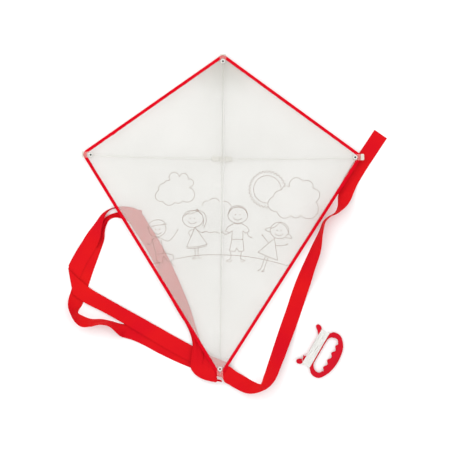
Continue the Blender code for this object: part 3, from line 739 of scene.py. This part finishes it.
def parted(name, source, look, place, run, near, far, keep):
    """A copy of a piece with only what lies inside, or outside, a block along its length."""
    piece = new_object(name, source.data.copy(), look)
    bpy.ops.mesh.primitive_cube_add(size=1, location=place + run * ((near + far) / 2))
    block = bpy.context.object
    block.dimensions = (far - near, 0.04, 0.06)
    block.rotation_euler.z = math.atan2(run.y, run.x)
    carve(piece, "INTERSECT" if keep else "DIFFERENCE", sharp_angle=30)
    return piece


# From the clip's back to the middle of the spreader that lies in it
CLIP_TO_SPREADER = 0.00275

# Where the thick end of each fitting starts, beyond its eyelet: the tail's is thin to its end
THICK_END = {"nose": 0.0134, "left": 0.0166, "right": 0.0126, "tail": None}


def corner_hardware(word, body):
    """The fitting, the hollow rivet with a dark plug of painted shadow in its hole, and its washer at one
    corner.
    """
    whole = moulded_copy("fitting_" + word, "fitting_" + word + "_moulding", LEAF, 0.00022)
    fittings = [whole]
    if THICK_END[word]:
        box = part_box("fitting_" + word)
        eyelet = Vector((*EYELETS[word].xy, 0))
        run = (box[0] + box[1]) / 2 - eyelet
        run = Vector((*run.xy, 0)).normalized()
        fittings = [parted("fitting_" + word + "_" + kind, whole, look, eyelet, run,
                           THICK_END[word], 0.04, kind == "end")
                    for kind, look in (("leaves", LEAF), ("end", FITTING))]
        bpy.data.objects.remove(whole)
    low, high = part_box("eyelet_" + word)
    wide = (high.x - low.x) / 2
    barrel = 0.0022
    hole = 0.0021
    flange = high.z - 0.0006
    lip = 0.00035
    mouth = (0.0005, 0.0004)
    profile = [(hole, low.z), (barrel, low.z), (barrel, flange), (wide, flange)]
    for turn in np.radians(np.linspace(0, 90, 6)):
        profile.append((wide - lip + lip * math.cos(turn) * 0.9, high.z - lip + lip * math.sin(turn)))
    for turn in np.radians(np.linspace(15, 90, 5)):
        profile.append((hole + mouth[0] * (1 - math.sin(turn)), high.z - mouth[1] * (1 - math.cos(turn))))
    rivet = turned("eyelet_" + word + "_rivet", profile, EYELET, EYELETS[word])
    # Painted shadow: a dark plug fills the rivet's hole and stands for the shade inside it.
    shadow_plug = [(0.0001, low.z + 0.0006), (hole, low.z + 0.0006),
            (hole, high.z - 0.0002), (0.0001, high.z - 0.0005)]
    bore_shadow = turned("eyelet_" + word + "_bore", shadow_plug, TAIL_BORE_SHADOW if word == "tail" else BORE_SHADOW, EYELETS[word])
    low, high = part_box("washer_" + word)
    wide = (high.x - low.x) / 2
    inner = barrel + 0.00012
    profile = rounded_profile([(wide, high.z), (wide, low.z), (inner, low.z), (inner, high.z)], 0.00015)
    washer = turned("washer_" + word + "_ring", profile, EYELET, EYELETS[word])
    for piece in fittings:
        belong(piece, body, "fitting_plastic", "fitting_" + word)
    for piece, kind in ((rivet, "eyelet_"), (bore_shadow, "eyelet_"), (washer, "washer_")):
        belong(piece, body, "eyelet_plastic", kind + word)


def bar(name, points, radius, look, resolution):
    """A round bar along a line of points, as a curve."""
    data = bpy.data.curves.new(name, "CURVE")
    data.dimensions = "3D"
    data.bevel_depth = radius
    data.bevel_resolution = resolution
    data.use_fill_caps = True
    spline = data.splines.new("POLY")
    spline.points.add(len(points) - 1)
    for target, point in zip(spline.points, points):
        target.co = (*point, 1)
    spline.use_smooth = True
    return new_object(name, data, look)


def rod(name, points, radius, node):
    """A glass fibre rod with its cut ends slightly rounded."""
    points = [Vector(p) for p in points]
    first, last = points[0], points[-1]
    start_run = (points[1] - first).normalized()
    end_run = (last - points[-2]).normalized()
    rounding = ((0, 0.70), (0.00015, 0.9), (0.0004, 1.0))
    stations = [(first + start_run * along, size) for along, size in rounding]
    stations += [(p, 1.0) for p in points[1:-1]]
    stations += [(last - end_run * along, size) for along, size in rounding[::-1]]
    places = [place for place, _ in stations]
    rows = []
    for i, (place, size) in enumerate(stations):
        run = (places[min(i + 1, len(places) - 1)] - places[max(i - 1, 0)]).normalized()
        across = run.cross(UP).normalized()
        rows.append(ring(place, across, across.cross(run), radius * size, 28))
    piece = new_object(name, weld(grid_mesh(name, rows, closed=True)), ROD)
    piece.data.set_sharp_from_angle(angle=math.radians(40))
    belong(piece, "kite", "spar_rod", node)


def frame_rods():
    """The straight spine and the bowed spreader, along the middle of their CAD rods."""
    low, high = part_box("spine_rod")
    radius = (high.x - low.x) / 2
    spine_z = (low.z + high.z) / 2
    steps = np.linspace(low.y, high.y, 30)
    rod("spine_glass_rod", [(0, y, spine_z) for y in steps], radius, "spine_rod")
    low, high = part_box("spreader_rod")
    middle_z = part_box("spar_clip")[0].z + CLIP_TO_SPREADER
    points = []
    for share in np.linspace(-1, 1, 61):
        eyelet = EYELETS["right" if share > 0 else "left"]
        x = abs(share) * (high.x if share > 0 else low.x) * 0.9996
        points.append((x, eyelet.y * (x / eyelet.x) ** 2, middle_z + (spine_z - middle_z) * share**2))
    rod("spreader_glass_rod", points, radius, "spreader_rod")


for corner in ("nose", "tail"):
    corner_hardware(corner, "kite")
for corner in ("left", "right"):
    corner_hardware(corner, corner + "_wing")
frame_rods()
clip = moulded_copy("spar_clip", "spar_clip_moulding", CLIP, 0.0003)
belong(clip, "kite", "fitting_plastic", "spar_clip")


# ---------------------------------------------------------------- ribbon tails

# Ribbon stations in millimetres and degrees: x, y and z of the middle of the ribbon's lowest edge,
# the direction from its first edge to its second edge seen from above, how far the second edge is
# tilted up (nil if it isn't given), and how much of the width is left where the ribbon is gathered
# (all of it if it isn't given).
LONG_TAIL = (
    (346, 58, 0.4, -34), (322, 21, 0.4, -33), (299, -15, 0.4, -33), (279, -50, 0.4, -31, 6),
    (265, -86, 0.4, -38, 36), (257, -105, 0.4, -46, 70), (247, -117, 0.4, -60, 84),
    (235, -123, 0.4, -62, 86), (225, -132, 0.4, -40, 84), (217, -155, 0.4, -18, 78),
    (206, -195, 0.4, -22, 50), (190, -238, 0.4, -22, 34), (174, -285, 0.4, -20, 8),
    (157, -338, 0.4, -18), (138, -392, 0.4, -18, 18), (120, -443, 0.4, -18, 32),
    (106, -479, 0.4, -14, 45), (98, -491, 0.4, -30, 62), (91, -496, 0.4, -72, 70),
    (83, -498, 0.4, -104, 60), (67, -497, 0.4, -118, 36), (45, -487, 2.2, -122, 12),
    (26, -476, 6.6, -118), (14, -467.6, 9.65, -105), (8.6, -464, 9.65, -97, 0, 0.82),
    (4.4, -461.6, 9.65, -96, 0, 0.78), (0, -460.6, 9.65, -98, 0, 0.82),
    (-14, -456.5, 9.65, -108, 0, 0.92), (-23, -452.6, 7.0, -111, 0, 0.94), (-38, -447.5, 2.8, -112),
    (-60, -440, 0.4, -113), (-124, -412, 0.4, -116), (-170, -388, 0.4, -119, 3),
    (-190, -380, 0.4, -120, 5), (-203, -376.6, 0.4, -121, 8), (-215, -373, 0.4, -120, 42),
    (-240, -360.5, 0.4, -112, 72), (-258, -357, 0.4, -94, 72), (-283, -359, 0.4, -87, 62),
    (-301, -356, 0.4, -98, 50), (-312, -348, 0.4, -122, 62), (-317, -340, 0.4, -166, 68),
    (-319, -329, 0.4, -192, 50), (-316, -313, 0.4, -198, 14), (-312, -298, 0.4, -198),
    (-306, -279, 0.4, -199), (-294, -241, 0.4, -199), (-282, -207, 0.4, -198),
    (-270, -172, 0.4, -198, 0, 0.95), (-259, -147, 0.4, -222, 0, 0.5), (-247, -131, 0.4, -240, 0, 0.3),
    (-233, -125, 0.4, -262, 0, 0.3), (-215, -125, 0.4, -270, 0, 0.5), (-193, -127, 0.4, -271, 0, 0.9),
    (-174, -130, 0.4, -272),
)
LOOPED_TAIL = (
    (9, -456.5, 10.2, -110, 0, 0.94), (0, -453.2, 10.25, -110, 0, 0.94),
    (-8, -450.1, 10.3, -111, 0, 0.94), (-15, -447.5, 10.3, -112, 0, 0.94),
    (-24, -444, 8.3, -114, 0, 0.96), (-38, -437.5, 4.6, -117), (-60, -427, 2.8, -118),
    (-105, -403, 2.6, -118), (-179, -361, 4, -118, 0, 0.94), (-254, -320, 3.4, -119, 0, 0.93),
    (-288, -302, 3.4, -124), (-310, -286, 3.6, -108), (-323, -275, 3.6, -86), (-327, -271, 3.2, -79),
    (-328.4, -268, 2.4, -79), (-327, -265, 1.6, -79), (-324, -258, 1.3, -68), (-317, -241, 1.3, -40),
    (-306, -219, 1.3, -30), (-289, -191, 1.3, -31), (-276, -167, 1.3, -32, 22, 0.95),
    (-266, -143, 1.5, -27, 34, 0.6), (-258, -127, 2, -36, 30, 0.38), (-247, -115, 2.6, -58, 20, 0.15),
    (-233, -109, 3.2, -72, 10, 0.09), (-216, -111, 3.2, -102, 4, 0.35),
    (-194, -124, 2.6, -125, 0, 0.95), (-171, -155, 2, -145), (-134, -216, 2, -153),
    (-99, -290, 2.4, -158), (-79.5, -330, 2.8, -160, 0, 0.83), (-64.5, -362, 3.4, -162, 4, 0.55),
    (-51.5, -403, 4.4, -170, 5, 0.55), (-50, -433, 5.5, -166, 4, 0.8), (-49, -455, 5.6, -142, 0, 0.84),
    (-38, -463.5, 6.8, -112, 0, 0.9), (-27, -467.5, 9.6, -101, 0, 0.9),
    (-17, -471.5, 10.9, -98, 0, 0.74), (-9, -477.2, 10.9, -92, 0, 0.4),
    (-5.2, -481.6, 10.9, -85, 0, 0.11), (-1, -482.2, 10.9, -80, 0, 0.12),
    (4, -483.4, 10.9, -72, 0, 0.12),
)


def ribbon_rows(stations, across):
    """Points of a ribbon: one row for each step along it, with its pleats where it is gathered."""
    scale = np.array((0.001, 0.001, 0.001, 1, 1, 1))
    whole = np.array([(*station, *(0, 1)[len(station) - 4:]) for station in stations])
    rows = smooth_rows(whole * scale, RIBBON_STEP)
    rows[:, 2] = np.maximum(rows[:, 2], RIBBON_FLOOR)
    middle = rows[:, :3]
    travel = headings(middle)
    course = np.radians(rows[:, 3])
    tilt = np.radians(rows[:, 4])
    rung = np.stack((np.cos(course) * np.cos(tilt), np.sin(course) * np.cos(tilt), np.sin(tilt)), 1)
    skew = np.linalg.norm(np.cross(rung, travel), axis=1)
    half = RIBBON_WIDTH / 2 * rows[:, 5] / np.clip(skew, 0.62, 1)
    raised = middle + np.outer(half * np.abs(np.sin(tilt)) + 0.00015, (0, 0, 1))
    normal = np.cross(travel, rung)
    normal /= np.linalg.norm(normal, axis=1)[:, None]
    normal[normal[:, 2] < 0] *= -1
    along = distances(raised)
    grid = []
    for i, centre in enumerate(raised):
        pleat = PLEAT * min(max(1 - rows[i, 5], 0) * 1.5, 1)
        cup = 0.00012 * math.sin(along[i] * 21) + 0.0001
        row = []
        for w in across:
            lift = pleat * (1 + math.sin(math.pi * 2.5 * w + 0.8 * math.sin(along[i] * 40)))
            lift += cup * w * w
            point = centre + rung[i] * (half[i] * w) + normal[i] * lift
            point[2] = max(point[2], RIBBON_FLOOR)
            row.append(point)
        grid.append(row)
    return grid, along


def ribbon(name, node, stations):
    """A length of thin ribbon, woven across, with a firm edge on both sides."""
    across = np.linspace(-1, 1, 17)
    grid, along = ribbon_rows(stations, across)
    uvs = (along * 1000, (across + 1) * RIBBON_WIDTH * 500)
    strip = new_object(name, grid_mesh(name, grid, uvs=uvs), RIBBON)
    thicken(strip, RIBBON_CLOTH)
    drill(strip, EYELETS["tail"])
    strip.data.shade_smooth()
    strip.data.set_sharp_from_angle(angle=math.radians(60))
    belong(strip, "kite", "tail_ribbon", node)


# ---------------------------------------------------------------- bridle thread

PLIES = 3
PLY_PITCH = 0.0042
THREAD_LIFT = 0.00025


def bridle():
    """The thread between the two tow points, tied round the spine at each end."""
    low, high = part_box("bridle_thread")
    radius = 0.00045
    thread_x = 0.0023
    drift = 0.0022
    lying = SAIL_TOP + THREAD_LIFT + radius
    low_y = low.y + radius
    high_y = high.y - radius
    spine_z = (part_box("spine_rod")[0].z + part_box("spine_rod")[1].z) / 2
    arch = ((0, spine_z - lying), (0, -0.0006), (0.0004, 0.0003), (0.0016, 0.0009),
            (0.0036, 0.0007), (0.0062, 0.0003), (0.009, 0.0001), (0.013, 0.0001))
    rows = [(thread_x, high_y - along, lying + rise) for along, rise in arch]
    for share in (0.2, 0.4, 0.6, 0.8):
        y = high_y + (low_y - high_y) * share
        rows.append((thread_x + drift * math.sin(math.pi * share), y, lying + 0.0001))
    rows += [(thread_x, low_y + along, lying + rise) for along, rise in reversed(arch)]
    route = smooth_rows(rows, 0.0006)
    piece = plied_thread("bridle_line", route, radius)
    knots = [knot("bridle_knot_" + word, y, spine_z) for word, y in (("upper", high_y), ("lower", low_y))]
    belong(piece, "kite", "line_thread", "bridle_thread")


def plied_thread(name, route, radius):
    """A thread of twisted plies as one tube, its section turning along the route."""
    side = np.array((1.0, 0, 0))
    rows = []
    for centre, heading, along in zip(route, headings(route), distances(route)):
        side = side - heading * side.dot(heading)
        side /= np.linalg.norm(side)
        other = np.cross(heading, side)
        turn = along / PLY_PITCH * 2 * math.pi / PLIES
        row = []
        for angle in full_turn(4 * PLIES):
            size = radius * (0.88 + 0.12 * math.cos(PLIES * (angle - turn)))
            row.append(centre + side * size * math.cos(angle) + other * size * math.sin(angle))
        rows.append(row)
    return new_object(name, weld(grid_mesh(name, rows, closed=True), 1e-8), BRIDLE)


def knot(name, y, spine_z):
    """Two and a half turns of the thread round the spine, drawn tight, with a short end."""
    spine = 0.0015
    radius = 0.00042
    reach = spine + radius + 0.00006
    points = []
    for t in np.linspace(0, 1, 60):
        angle = math.radians(35) + 2 * math.pi * 2.6 * t
        points.append((reach * math.cos(angle), y - 0.0012 + 0.0026 * t, spine_z + reach * math.sin(angle)))
    end = Vector(points[-1])
    points += [end + Vector((-0.0042 * t, 0.0008 * t, -0.0006 * t * t)) for t in np.linspace(0.1, 1, 8)]
    piece = bar(name, points, radius, BRIDLE, 2)
    belong(piece, "kite", "line_thread")
    return piece


ribbon("tail_ribbon_long_strip", "tail_ribbon_long", LONG_TAIL)
ribbon("tail_ribbon_looped_strip", "tail_ribbon_looped", LOOPED_TAIL)
bridle()


# ---------------------------------------------------------------- winder and its line

WINDER_AT = (0.208, -0.411)
WINDER_TURN = math.radians(60.5)
LINE_RADIUS = 0.0003
LINE_LIFT = 0.00025
BAR_HALF_WIDTH = 0.0094
BAR_REACH = 0.0413
BAR_ROUNDING = 0.0016
WOUND_LAYERS = 3
WOUND_STRANDS = 31
LAYER_RISE = 0.00052


def on_winder(u, v, z):
    """A point in the row frame, from its place along and away from the wound bar."""
    turn = Matrix.Translation((*WINDER_AT, 0)) @ Matrix.Rotation(WINDER_TURN, 4, "Z")
    return turn @ Vector((u, -v, z))


def flying_line():
    """The whole line: wound lengthwise on the bar in layers, then out to the locking notch."""
    low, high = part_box("winder_handle")
    middle_z = (low.z + high.z) / 2
    half_wide = BAR_HALF_WIDTH - LINE_RADIUS
    turns = np.radians((25, 60, 90, 120, 155))
    rng = np.random.default_rng(7)
    points = []
    for layer in range(WOUND_LAYERS):
        way = (-1) ** layer
        lift = LINE_RADIUS + layer * LAYER_RISE
        above = (high.z - low.z) / 2 + LINE_LIFT + lift
        straight = BAR_REACH + lift - BAR_ROUNDING
        for strand in range(WOUND_STRANDS):
            here = half_wide * (2 * strand / (WOUND_STRANDS - 1) - 1) * way
            step = 2 * half_wide / (WOUND_STRANDS - 1) * way
            slant = rng.normal(0, 0.0011 if layer == WOUND_LAYERS - 1 else 0.0004)
            back = rng.normal(0, 0.0007)
            for t in np.linspace(0, 1, 7):
                v = here + slant * math.sin(math.pi * t) * (1 - 2 * abs(t - 0.5) * 0.3)
                points.append((straight * (1 - 2 * t), np.clip(v, -half_wide, half_wide), above))
            for turn in turns:
                points.append((-straight - BAR_ROUNDING * math.sin(turn), here, above * math.cos(turn)))
            for t in np.linspace(0, 1, 7):
                v = here + step * t + back * math.sin(math.pi * t)
                points.append((straight * (2 * t - 1), np.clip(v, -half_wide, half_wide), -above))
            for turn in turns[::-1]:
                points.append((straight + BAR_ROUNDING * math.sin(turn), here + step, above * math.cos(turn)))
    wound = [on_winder(u, v, middle_z + z) for u, v, z in points]
    free = (high.z + LINE_RADIUS + LINE_LIFT) * 1000
    route = ((-39, 10.2, 7.2), (-37.5, 11.6, free), (-34.6, 13.8, free), (-31.8, 15.4, free - 0.6),
             (-30.6, 16.9, 4), (-31.4, 18.2, 1.6), (-34, 20.4, 0.3), (-38, 25, 0.3), (-44, 28.5, 0.3),
             (-50, 29, 0.3))
    path = wound + [on_winder(u / 1000, -v / 1000, z / 1000) for u, v, z in smooth_rows(route, 0.8)]
    piece = bar("flying_line", path, LINE_RADIUS, LINE, 1)
    belong(piece, "winder", "line_thread", "line_winding", "line_end")


flying_line()
handle = moulded_copy("winder_handle", "winder_moulding", WINDER, 0.00012)
belong(handle, "winder", "winder_plastic", "winder_handle")


# ---------------------------------------------------------------- printed drawing

INK_STEP = 2.5
INK_WIDTH = 0.00085
INK_LIFT = 0.00002
INK_THICKNESS = 0.00003


def ellipse(cx, cy, rx, ry, start=0, end=360, tilt=0):
    """An arc of an ellipse in millimetres, its angles in degrees."""
    cos, sin = math.cos(math.radians(tilt)), math.sin(math.radians(tilt))
    points = []
    for a in np.radians(np.arange(start, end + 1e-6, 6)):
        x, y = rx * math.cos(a), ry * math.sin(a)
        points.append((cx + x * cos - y * sin, cy + x * sin + y * cos))
    return points


def line(*places):
    """A line through a few points, given as x, y, x, y in millimetres."""
    return list(zip(places[::2], places[1::2]))


def curve(*places):
    """A smooth line through a few points."""
    rows = smooth_rows([(x, y, 0) for x, y in line(*places)], 1.5)
    return [(x, y) for x, y, _ in rows]


def cloud(cx, cy, lobes):
    """A cloud's outline seen from a point inside it: the outer edge of overlapping round lobes."""
    points = []
    for a in np.radians(np.arange(0, 360 + 1e-6, 2.5)):
        reach = 0.0
        for x, y, radius in lobes:
            along = (x - cx) * math.cos(a) + (y - cy) * math.sin(a)
            aside = (y - cy) * math.cos(a) - (x - cx) * math.sin(a)
            if abs(aside) < radius:
                reach = max(reach, along + math.sqrt(radius**2 - aside**2))
        points.append((cx + reach * math.cos(a), cy + reach * math.sin(a)))
    return points


def sun(cx, cy):
    """The sun's disc, with a zigzag ring round it, where the cloud leaves them free."""
    rays = []
    for k, a in enumerate(np.radians(np.linspace(12, 274, 49))):
        reach = 41.5 if k % 2 else 36
        rays.append((cx + reach * math.cos(a), cy + reach * math.sin(a)))
    return [ellipse(cx, cy, 29.8, 29.8, -3, 273), rays]


def face(cx, cy, size):
    """Two dots for eyes and a smile."""
    eyes = [ellipse(cx + side * 0.24 * size, cy + 0.1 * size, 0.6, 0.8) for side in (-1, 1)]
    return eyes + [ellipse(cx, cy - 0.02 * size, 0.52 * size, 0.46 * size, 205, 335)]


def hand(x, y, size=2.6):
    """Three short fingers."""
    return [[(x, y), (x + size * math.cos(a), y + size * math.sin(a))] for a in np.radians((40, 95, 150))]


def cap_child():
    """A child in a sun hat, waving."""
    cx, cy = -139.4, -153.7
    return [
        ellipse(cx, cy, 19, 17, 150, 390, 15), ellipse(cx - 1, cy + 4, 20.5, 15.5, 5, 175, 15),
        curve(cx - 22, cy, cx - 8, cy + 6, cx + 8, cy + 9, cx + 20, cy + 10), *face(cx + 1, cy - 3, 18),
        curve(-150, -176, -137, -172, -128, -176), curve(-128, -176, -116, -180, -104, -170, -96, -158),
        curve(-150, -176, -152, -186, -159.7, -188), line(-131, -178, -124, -206, -104, -210),
        line(-150, -176, -142, -210, -124, -206),
        line(-142, -210, -138, -228, -128, -228, -125, -212, -114, -226, -104, -221, -104, -210),
        curve(-134, -228, -134, -236, -129, -239), curve(-109, -224, -104, -232, -99, -233),
        *hand(-95.2, -156.6), *hand(-160, -188),
    ]


def ponytail_child():
    """A child with a ponytail, in a dress."""
    cx, cy = -62.2, -131.3
    return [
        ellipse(cx, cy, 22.5, 18.5), curve(-84, -128, -70, -117, -53.3, -111.2),
        curve(-80, -121, -66, -120, -50, -113), ellipse(-53.3, -111.2, 1.6, 1.6),
        curve(-53.3, -111.2, -38, -118, -33, -135, -38, -151),
        curve(-53.3, -112, -43, -121, -39, -134, -40, -147), *face(cx - 1, cy - 1, 20),
        line(-57.3, -149.5, -75, -192), line(-57.3, -149.5, -30.2, -186),
        curve(-75, -192, -60, -192.5, -45, -190, -30.2, -186),
        curve(-75, -195, -60, -195.5, -45, -193, -30, -189), curve(-59, -153, -71, -160, -67, -170),
        curve(-55, -153, -45, -160, -36, -161), line(-57, -194, -56, -214), line(-50, -193, -50, -213),
        curve(-56, -214, -62, -217, -59, -219, -53, -216), curve(-50, -213, -46, -217, -42, -215),
    ]


def short_haired_child():
    """A child in a T-shirt and shorts."""
    cx, cy = 35.5, -122.3
    return [
        ellipse(cx, cy, 21.5, 17.5), curve(14.5, -119, 20, -107, 36, -101.5, 52, -108, 56.5, -121),
        curve(15, -121, 22, -109, 37, -104, 50, -109, 56, -119), *face(cx, cy - 1, 20),
        curve(29, -140, 36, -141.5, 43, -140), line(29, -140, 15, -147, 9, -157, 18, -161, 24, -156),
        line(43, -140, 56, -147, 61, -157, 52, -161, 47, -156), line(24, -156, 23, -175),
        line(47, -156, 47, -175), line(23, -175, 47, -175),
        line(23, -175, 18, -200, 30, -201, 34, -193, 38, -201, 50, -200, 47, -175),
        curve(18, -161, 10, -164, 1.5, -159.1), curve(56, -160, 60, -168, 65.3, -170.5),
        curve(21, -201, 20, -217, 12, -222, 20, -224, 24, -220),
        curve(44, -201, 44, -218, 52, -221, 46, -224, 42, -221), *hand(1.5, -160, 2.2),
        *hand(65, -171, 2.2),
    ]


def pigtail_child():
    """A child with pigtails, jumping."""
    cx, cy = 126.7, -154.5
    return [
        ellipse(cx, cy, 20, 18), curve(107, -151, 118, -146, 127, -137),
        curve(127, -137, 140, -146, 146, -158),
        curve(108, -148, 100, -150, 94.8, -152.2, 102, -157, 107, -158),
        curve(145, -162, 151, -166, 153, -172.2, 146, -171, 139, -170), *face(cx - 1, cy - 2, 19),
        line(115.6, -171.7, 80.3, -202.5), line(115.6, -171.7, 123, -219.5),
        curve(80.3, -202.5, 100, -211, 123, -219.5), curve(103, -182, 95, -172, 89.6, -166),
        curve(118, -187, 130, -188, 143.5, -185.3), line(97, -210, 86, -240), line(103, -212, 93, -241),
        curve(86, -240, 80, -242, 84, -243.5), curve(93, -241, 88, -244, 95, -244), *hand(89.6, -166),
        *hand(143.5, -185.3),
    ]


def drawing():
    """Every line of the print, in millimetres: clouds, a sun, a hill and four children."""
    return [
        cloud(-98, -64, ((-103.6, -41.2, 11), (-82.7, -41.9, 9.5), (-70, -53, 8.7), (-75.4, -78.6, 16.4),
                         (-94, -89.7, 8.4), (-114, -88.7, 13.7), (-132, -81.7, 12.4),
                         (-126, -65.7, 11.4), (-117.2, -56.4, 8.4), (-98, -64, 22))),
        cloud(162, -85, ((162.5, -54.9, 15.5), (185, -58.4, 13.6), (198.6, -77.3, 14.7),
                         (189, -106.8, 21.7), (161.7, -115.8, 11.4), (137.5, -111.6, 16.3),
                         (117.2, -97.2, 16.3), (128.3, -82.9, 15.8), (141, -68.5, 10.9), (162, -85, 29))),
        ellipse(-33, -100, 8, 8, 60, 200), ellipse(-16, -97, 11.5, 11.5, 15, 150),
        ellipse(7, -106, 13.5, 13.5, 10, 115), curve(-42, -160, -34, -158, -25, -161, -14, -159, -4, -162),
        *sun(99.1, -65.4), curve(-147.8, -230.1, -132, -226),
        curve(-100, -219, -60, -211.5, 2, -208.9, 70, -214, 118, -224, 145.7, -231.2),
        *cap_child(), *ponytail_child(), *short_haired_child(), *pigtail_child(),
    ]


def resampled(points):
    """The line's own points, with more between them so that none are over a step apart."""
    result = []
    for (x, y), (next_x, next_y) in zip(points, points[1:]):
        count = max(1, math.ceil(math.hypot(next_x - x, next_y - y) / INK_STEP))
        result += [(x + (next_x - x) * k / count, y + (next_y - y) * k / count) for k in range(count)]
    return np.array(result + [tuple(points[-1])])


def ink_strip(work, points):
    """One printed line as a thin closed strip that lies on the cloth."""
    points = points / 1000
    middle = (SAIL_LOW + SAIL_TOP) / 2
    rows = []
    for (x, y), (tx, ty) in zip(points, headings(points)):
        row = []
        for across, high in ((-1, 0), (1, 0), (1, 1), (-1, 1)):
            px, py = x - ty * INK_WIDTH / 2 * across, y + tx * INK_WIDTH / 2 * across
            base = middle + sail_lift(px, py) + CLOTH / 2 + INK_LIFT
            row.append((px, py, base + INK_THICKNESS * high))
        rows.append(row)
    loft(work, rows)


def printed_sail():
    """The drawing, as one piece on each half of the sail."""
    halves = {-1: bmesh.new(), 1: bmesh.new()}
    for stroke in drawing():
        points = resampled(stroke)
        sides = np.where(points[:, 0] < 0, -1, 1)
        start = 0
        for i in range(1, len(points) + 1):
            if i == len(points) or sides[i] != sides[start]:
                stretch = points[start:min(i + 1, len(points))]
                if len(stretch) > 1:
                    ink_strip(halves[sides[start]], stretch)
                start = i
    for side, work in halves.items():
        bmesh.ops.recalc_face_normals(work, faces=work.faces)
        piece = new_object("print_" + WORD[side], mesh_from(work, "print"), INK, smooth=False)
        fold_with_wing(piece)


printed_sail()


# ---------------------------------------------------------------- floor, light and camera

def studio():
    """A white floor, an even white surround and one broad lamp, with the camera straight above."""
    scene = bpy.context.scene
    bpy.ops.mesh.primitive_plane_add(size=12, location=(0, 0, 0))
    floor = bpy.context.object
    floor.name = "floor"
    look = Look("floor_look", 0.9, Base_Color=(0.84, 0.84, 0.84, 1), Specular_IOR_Level=0.0)
    floor.data.materials.append(look.material)

    world = bpy.data.worlds.new("studio")
    world.use_nodes = True
    background = world.node_tree.nodes["Background"]
    background.inputs["Color"].default_value = (1, 1, 1, 1)
    background.inputs["Strength"].default_value = 1.35
    scene.world = world

    lamp = bpy.data.lights.new("softbox", "AREA")
    lamp.shape = "RECTANGLE"
    lamp.size = 1.6
    lamp.size_y = 1.2
    lamp.energy = 9.6
    softbox = bpy.data.objects.new("softbox", lamp)
    softbox.location = (-1.3, 1.0, 1.9)
    aim = Vector((*VIEW_CENTRE, 0)) - softbox.location
    softbox.rotation_euler = aim.to_track_quat("-Z", "Y").to_euler()
    scene.collection.objects.link(softbox)

    lens = bpy.data.cameras.new("camera")
    lens.lens = LENS
    lens.sensor_width = SENSOR
    camera = bpy.data.objects.new("camera", lens)
    camera.location = (*VIEW_CENTRE, SAIL_TOP + VIEW_WIDTH * LENS / SENSOR)
    camera.rotation_euler = (0, 0, VIEW_ROLL)
    scene.collection.objects.link(camera)
    scene.camera = camera
    scene.view_settings.view_transform = "Standard"
    scene.view_settings.look = "None"


studio()
